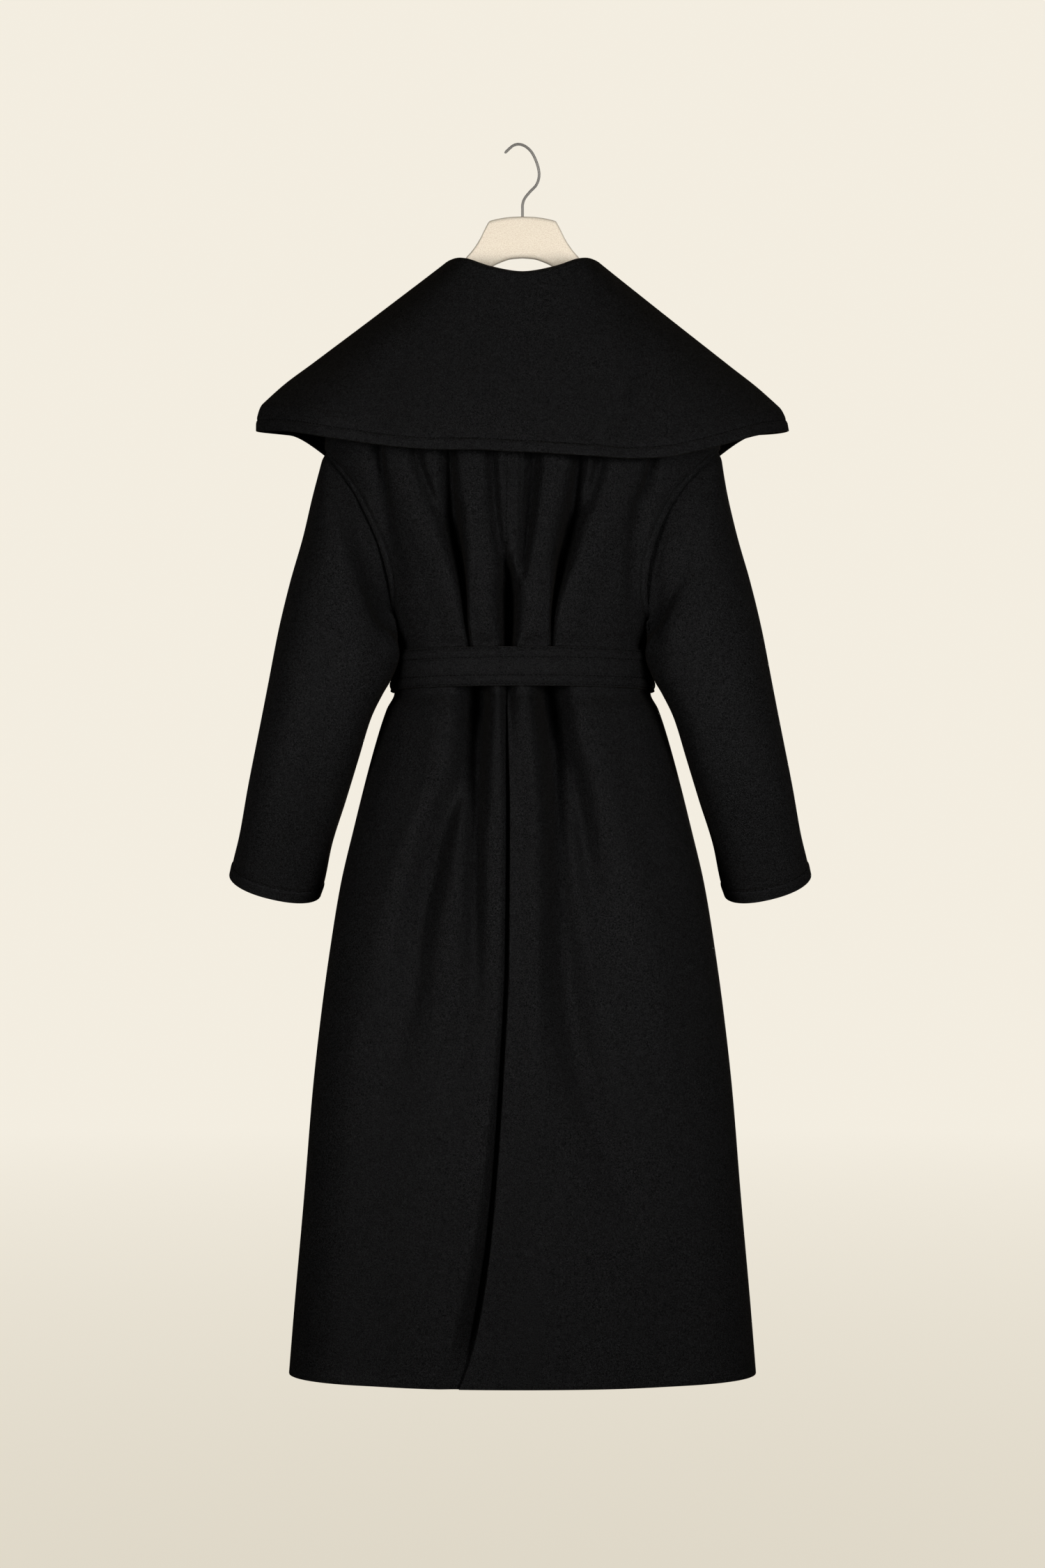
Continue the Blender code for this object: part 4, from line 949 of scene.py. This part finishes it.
def build_knot(finish):
    """Plain knot: a rounded lump of turned cloth on the band at the front, with the turns' creases."""
    seat = belt_front(0.0, BELT_CLEARANCE + BELT_CLOTH + SEAM_GAP)
    lift = (np.pi * (np.arange(1, KNOT_ROWS) / KNOT_ROWS - 0.5))[:, None]
    turn = (2 * np.pi * np.arange(KNOT_COLUMNS) / KNOT_COLUMNS)[None, :]
    x = bent(bent(np.cos(lift)) * bent(np.cos(turn)))
    y = bent(np.cos(lift)) * bent(np.sin(turn))
    y = np.where(y < 0, -np.abs(y) ** KNOT_BACK, y)
    z = bent(np.sin(lift)) * (1.0 - KNOT_WAIST * np.cos(np.pi * x))
    crossed = sum(weight * hump(z - slope * x - rise, width) for slope, rise, width, weight in KNOT_TURNS)
    y = y * (1.0 - KNOT_CREASE * crossed * (y > 0))
    points = seat + np.array(KNOT_SIZE) / 2 * np.stack([x, 1.0 + y, z], axis=-1)
    return add_tube("cloth_belt_knot", "belt_knot", points, finish)


def hanger_cuts():
    """Places along the hanger, with its top and bottom there. Its arms lie just under the shoulder seams."""
    shoulders = [row for row in BODY_SECTIONS if row.z >= ARM_TOP_Z]
    cuts = list(HANGER_HEAD)
    step = 0.004
    for x, taper in HANGER_ARM:
        before, here, after = column(shoulders, "z", [x - step, x, x + step], by="half_width")
        slope = (before - after) / (2 * step)
        top = here - (CLOTH + HANGER_CLEARANCE) * math.hypot(1.0, slope) - taper
        cuts.append((x, top, top - HANGER_ARM_HEIGHT + 2 * taper))
    return np.array(cuts).T


def build_hanger(finish):
    """Moulded bar with rounded edges, which thins out to its rounded ends."""
    places, tops, bottoms = hanger_cuts()
    head, arm, tip = HANGER_POINTS
    x = np.concatenate([
        np.linspace(0.0, HANGER_FINE_X, head),
        np.linspace(HANGER_FINE_X, HANGER_END_X - HANGER_TIP, arm)[1:],
        HANGER_END_X - HANGER_TIP * np.cos(np.linspace(0.0, np.pi / 2, tip))[1:],
    ])
    top = smooth_table(places, tops, x)
    bottom = smooth_table(places, bottoms, x)
    x, top, bottom = (np.concatenate([sign * v[:0:-1], v]) for v, sign in ((x, -1), (top, 1), (bottom, 1)))
    half = HANGER_THICKNESS / 2
    radius = HANGER_ROUNDING * np.minimum(half, (top - bottom) / 2)
    rings = []
    for corner, (y_side, z_side) in enumerate(((1, 1), (-1, 1), (-1, -1), (1, -1))):
        for k in range(CORNER_STEPS + 1):
            angle = math.pi / 2 * (corner + k / CORNER_STEPS)
            y = y_side * (half - radius) + radius * math.cos(angle)
            z = (top + bottom) / 2 + z_side * ((top - bottom) / 2 - radius) + radius * math.sin(angle)
            rings.append(np.stack([x, y, z], axis=-1))
    add_tube("hanger_bar", "hanger_body", np.stack(rings, axis=1), finish)


def catmull(values, at):
    """Smooth curve through evenly numbered values."""
    k = min(int(at), len(values) - 2)
    t = at - k
    before = values[max(k - 1, 0)]
    after = values[min(k + 2, len(values) - 1)]
    start, finish = values[k], values[k + 1]
    bend = 2 * before - 5 * start + 4 * finish - after
    twist = -before + 3 * start - 3 * finish + after
    return 0.5 * (2 * start + (finish - before) * t + bend * t * t + twist * t ** 3)


def build_hook(finish):
    """Bent wire with a rounded tip."""
    route = np.array(HOOK_ROUTE)
    x, z = np.array([catmull(route, at) for at in np.linspace(0.0, len(route) - 1, HOOK_POINTS)]).T
    line = np.stack([x, x * math.tan(HOOK_TURN), z], axis=-1)
    way = unit(np.gradient(line, axis=0))
    level = np.array([-math.sin(HOOK_TURN), math.cos(HOOK_TURN), 0.0])
    other = np.cross(way, level)[:, None]
    girth = np.full((len(line), 1, 1), HOOK_WIRE / 2)
    girth[-len(HOOK_TIP):, 0, 0] *= HOOK_TIP
    angle = (2 * np.pi * np.arange(HOOK_SIDES) / HOOK_SIDES)[None, :, None]
    rings = line[:, None] + girth * (np.cos(angle) * level + np.sin(angle) * other)
    add_tube("hook_wire", "hanger_hook", rings, finish)


class Finish:
    """A new material, with short ways to add nodes to it."""

    def __init__(self, name):
        self.material = bpy.data.materials.new(name)
        self.material.use_nodes = True
        self.tree = self.material.node_tree
        self.place = self.tree.nodes.new("ShaderNodeTexCoord").outputs["Object"]

    def feed(self, node, inputs):
        """Sets each input to its value, or joins it to another node's output."""
        for key, value in inputs.items():
            if isinstance(value, bpy.types.NodeSocket):
                self.tree.links.new(value, node.inputs[key])
            else:
                node.inputs[key].default_value = value

    def shade(self, inputs):
        self.feed(self.tree.nodes["Principled BSDF"], inputs)
        return self.material

    def add(self, kind, inputs, output=0, **settings):
        node = self.tree.nodes.new("ShaderNode" + kind)
        for key, value in settings.items():
            setattr(node, key, value)
        self.feed(node, inputs)
        return node.outputs[output]

    def noise(self, vector, scale, detail, roughness):
        inputs = {"Vector": vector, "Scale": scale, "Detail": detail, "Roughness": roughness}
        return self.add("TexNoise", inputs, "Fac")

    def ramp(self, factor, *stops):
        """Colour ramp between two pairs of position and colour."""
        node = self.tree.nodes.new("ShaderNodeValToRGB")
        for element, (position, colour) in zip(node.color_ramp.elements, stops):
            element.position = position
            element.color = (*colour, 1.0)
        self.feed(node, {"Fac": factor})
        return node.outputs["Color"]

    def blend(self, first, second, weight):
        """first + weight * second"""
        return self.add("Math", {0: second, 1: weight, 2: first}, operation="MULTIPLY_ADD")

    def span(self, value, start, end, low, high):
        inputs = {"Value": value, "From Min": start, "From Max": end, "To Min": low, "To Max": high}
        return self.add("MapRange", inputs, "Result")

    def bump(self, height, strength, distance):
        return self.add("Bump", {"Height": height, "Strength": strength, "Distance": distance}, "Normal")


# Noises as scale, detail and roughness
WOOL_FLECK = (1900.0, 2.0, 0.65)
WOOL_CLUMP = (560.0, 2.0, 0.55)
WOOL_NAP = (520.0, 2.0, 0.55)
THREAD_TWIST = (2600.0, 2.0, 0.55)
HANGER_FLECK = (900.0, 3.0, 0.6)
STEEL_GRAIN = (500.0, 3.0, 0.55)

# Dark fibres are rough and light ones glossier, over this span of the mixed noise
WOOL_SPAN = (0.545, 0.745)
WOOL_ROUGHNESS = (0.74, 0.52)
WOOL_DARK = (0.0045, 0.0046, 0.0049)
WOOL_LIGHT = (0.0282, 0.0287, 0.0304)
CLUMP_WEIGHT = 0.28
NAP_WEIGHT = 0.7
NAP_STRETCH = (0.32, 0.32, 1.0)
WOOL_BUMP = (0.6, 0.0007)
THREAD_SPAN = (0.35, 0.70)
THREAD_DARK = (0.0035, 0.0035, 0.0035)
THREAD_LIGHT = (0.0110, 0.0110, 0.0112)
HANGER_SPAN = (0.30, 0.60)
HANGER_DARK = (0.735, 0.632, 0.503)
HANGER_LIGHT = (0.892, 0.817, 0.697)
HANGER_BUMP = (0.25, 0.0003)
STEEL_ROUGHNESS = (0.60, 0.75)


def wool():
    """Brushed black wool: light and dark fibres, soft clumps, and a nap that lies in short level ripples."""
    made = Finish("black_wool")
    mixed = made.blend(made.noise(made.place, *WOOL_FLECK), made.noise(made.place, *WOOL_CLUMP), CLUMP_WEIGHT)
    stretch = made.add("Mapping", {"Vector": made.place, "Scale": NAP_STRETCH})
    height = made.blend(mixed, made.noise(stretch, *WOOL_NAP), NAP_WEIGHT)
    return made.shade({
        "Base Color": made.ramp(mixed, *zip(WOOL_SPAN, (WOOL_DARK, WOOL_LIGHT))),
        "Normal": made.bump(height, *WOOL_BUMP),
        "Roughness": made.span(mixed, *WOOL_SPAN, *WOOL_ROUGHNESS),
        "Specular IOR Level": 0.4,
        "Sheen Weight": 0.03,
        "Sheen Roughness": 0.5,
        "Sheen Tint": (0.9, 0.75, 0.55, 1.0),
    })


def thread():
    """Matt black sewing thread."""
    made = Finish("black_thread")
    twist = made.noise(made.place, *THREAD_TWIST)
    return made.shade({
        "Base Color": made.ramp(twist, *zip(THREAD_SPAN, (THREAD_DARK, THREAD_LIGHT))),
        "Roughness": 0.7,
        "Specular IOR Level": 0.2,
    })


def hanger_plastic():
    made = Finish("speckled_hanger")
    fleck = made.noise(made.place, *HANGER_FLECK)
    return made.shade({
        "Base Color": made.ramp(fleck, *zip(HANGER_SPAN, (HANGER_DARK, HANGER_LIGHT))),
        "Normal": made.bump(fleck, *HANGER_BUMP),
        "Roughness": 0.6,
    })


def hook_steel():
    made = Finish("satin_steel")
    return made.shade({
        "Base Color": (0.40, 0.385, 0.365, 1.0),
        "Roughness": made.span(made.noise(made.place, *STEEL_GRAIN), 0.0, 1.0, *STEEL_ROUGHNESS),
        "Metallic": 0.3,
        "Specular IOR Level": 0.2,
    })


TONE_TOE = 0.03
TONE_STEPS = (0.004, 0.008, 0.016, 0.03, 0.06, 0.12, 0.25, 0.5, 0.75)
COMBINED_CURVE = 3

CAMERA_DISTANCE = 4.0
CAMERA_Z = -0.70455
METRES_PER_PIXEL = 0.00077
PHOTO_HEIGHT = 2250
SENSOR = 36.0

ROOM_RADIUS = 9.0
ROOM_COVE = 2.0
ROOM_SIDES, COVE_STEPS = 96, 12
FLOOR_Z = -1.75
ROOM_TOP = 6.0
FLOOR_COLOUR = (0.745, 0.695, 0.585)
WALL_COLOUR = (0.912, 0.868, 0.777)

# The wide side lamps model the folds and leave the deep ones black. The lamp by the camera gives only gloss,
# which is strongest where the cloth faces the camera.
Lamp = namedtuple("Lamp", "name place target size energy diffuse glossy")
LAMPS = [
    Lamp("key_left", (-2.68, -3.12, -0.58), (0.0, 0.0, -0.60), 1.6, 12.9, True, False),
    Lamp("key_right", (2.68, -3.12, -0.58), (0.0, 0.0, -0.60), 1.6, 15.8, True, False),
    Lamp("gloss", (0.0, -4.60, -0.20), (0.0, 0.0, -0.60), 1.5, 1.05, False, True),
    Lamp("front", (0.9, 3.5, -0.50), (0.0, 0.0, -0.72), 1.2, 24.0, True, False),
]
LAMP_SPREAD = math.radians(54)
LAMP_COLOUR = (1.0, 0.985, 0.955)
WORLD_COLOUR = (1.0, 0.95, 0.86, 1.0)
WORLD_STRENGTH = 0.03


def set_tones():
    """Tone curve of a photograph: straight in the lights, with a toe that deepens the darks."""
    settings = bpy.context.scene.view_settings
    settings.view_transform = "Standard"
    settings.use_curve_mapping = True
    curve = settings.curve_mapping.curves[COMBINED_CURVE]
    for light in TONE_STEPS:
        curve.points.new(light, light * light / (light + TONE_TOE))
    settings.curve_mapping.update()


def add_camera():
    data = bpy.data.cameras.new("camera")
    data.sensor_width = SENSOR
    data.lens = SENSOR * CAMERA_DISTANCE / (PHOTO_HEIGHT * METRES_PER_PIXEL)
    made = bpy.data.objects.new("camera", data)
    made.location = (0.0, -CAMERA_DISTANCE, CAMERA_Z)
    made.rotation_euler = (math.pi / 2, 0.0, 0.0)
    bpy.context.scene.collection.objects.link(made)
    bpy.context.scene.camera = made


def add_room():
    """Round pale room: floor, cove and wall, seen by the camera alone."""
    flat = ROOM_RADIUS - ROOM_COVE
    angle = math.pi / 2 * np.arange(COVE_STEPS + 1) / COVE_STEPS
    out = np.concatenate([[0.0], flat + ROOM_COVE * np.sin(angle), [ROOM_RADIUS]])[:, None]
    up = np.concatenate([[FLOOR_Z], FLOOR_Z + ROOM_COVE * (1.0 - np.cos(angle)), [ROOM_TOP]])[:, None]
    turn = 2 * np.pi * np.arange(ROOM_SIDES) / ROOM_SIDES
    grid = np.stack(np.broadcast_arrays(out * np.cos(turn), out * np.sin(turn), up), axis=-1)
    mesh = bpy.data.meshes.new("room")
    mesh.from_pydata(grid.reshape(-1, 3).tolist(), [], grid_faces(*grid.shape[:2], closed=True).tolist())
    mesh.shade_smooth()
    wall = Finish("ivory_wall")
    level = wall.add("VectorMath", {0: wall.place, 1: LEVEL}, operation="MULTIPLY")
    reach = wall.add("VectorMath", {0: level}, "Value", operation="LENGTH")
    share = wall.span(reach, 0.0, flat, 0.0, 1.0)
    mesh.materials.append(wall.shade({
        "Base Color": (0.0, 0.0, 0.0, 1.0),
        "Roughness": 1.0,
        "Specular IOR Level": 0.0,
        "Emission Color": wall.ramp(share, (0.0, FLOOR_COLOUR), (1.0, WALL_COLOUR)),
        "Emission Strength": 1.0,
    }))
    room = bpy.data.objects.new("room", mesh)
    bpy.context.scene.collection.objects.link(room)
    room.visible_diffuse = False
    room.visible_glossy = False
    room.visible_shadow = False
    room.visible_transmission = False


def add_lights():
    for lamp in LAMPS:
        data = bpy.data.lights.new(lamp.name, "AREA")
        data.size = lamp.size
        data.energy = lamp.energy
        data.spread = LAMP_SPREAD
        data.color = LAMP_COLOUR
        made = bpy.data.objects.new(lamp.name, data)
        made.visible_diffuse = lamp.diffuse
        made.visible_glossy = lamp.glossy
        made.location = lamp.place
        made.rotation_euler = (Vector(lamp.target) - Vector(lamp.place)).to_track_quat("-Z", "Y").to_euler()
        bpy.context.scene.collection.objects.link(made)
    world = bpy.data.worlds.new("soft_room")
    world.use_nodes = True
    back = world.node_tree.nodes["Background"]
    back.inputs["Color"].default_value = WORLD_COLOUR
    back.inputs["Strength"].default_value = WORLD_STRENGTH
    bpy.context.scene.world = world


def main():
    set_tones()
    add_camera()
    cloth = wool()
    sewing = thread()
    for word, side in (("left", -1), ("right", 1)):
        for name, face in (("back_" + word, -1), ("front_" + word, 1)):
            made = build_panel(name, face, side, cloth)
            seams = [sew("centre_back", centre_lines(), sewing)] if name == "back_left" else []
        (under, top), lines = build_sleeve(side, word, cloth)
        seams = [sew("cuff_" + word, lines, sewing)]
        made, lines = build_belt_end(word, side, cloth)
        sew("belt_end_" + word, lines, sewing)
    made, lines = build_collar(cloth)
    sew("collar", lines, sewing)
    made, lines = build_belt(cloth)
    sew("belt_band", lines, sewing, closed=True)
    build_knot(cloth)
    build_hanger(hanger_plastic())
    build_hook(hook_steel())
    add_room()
    add_lights()


main()
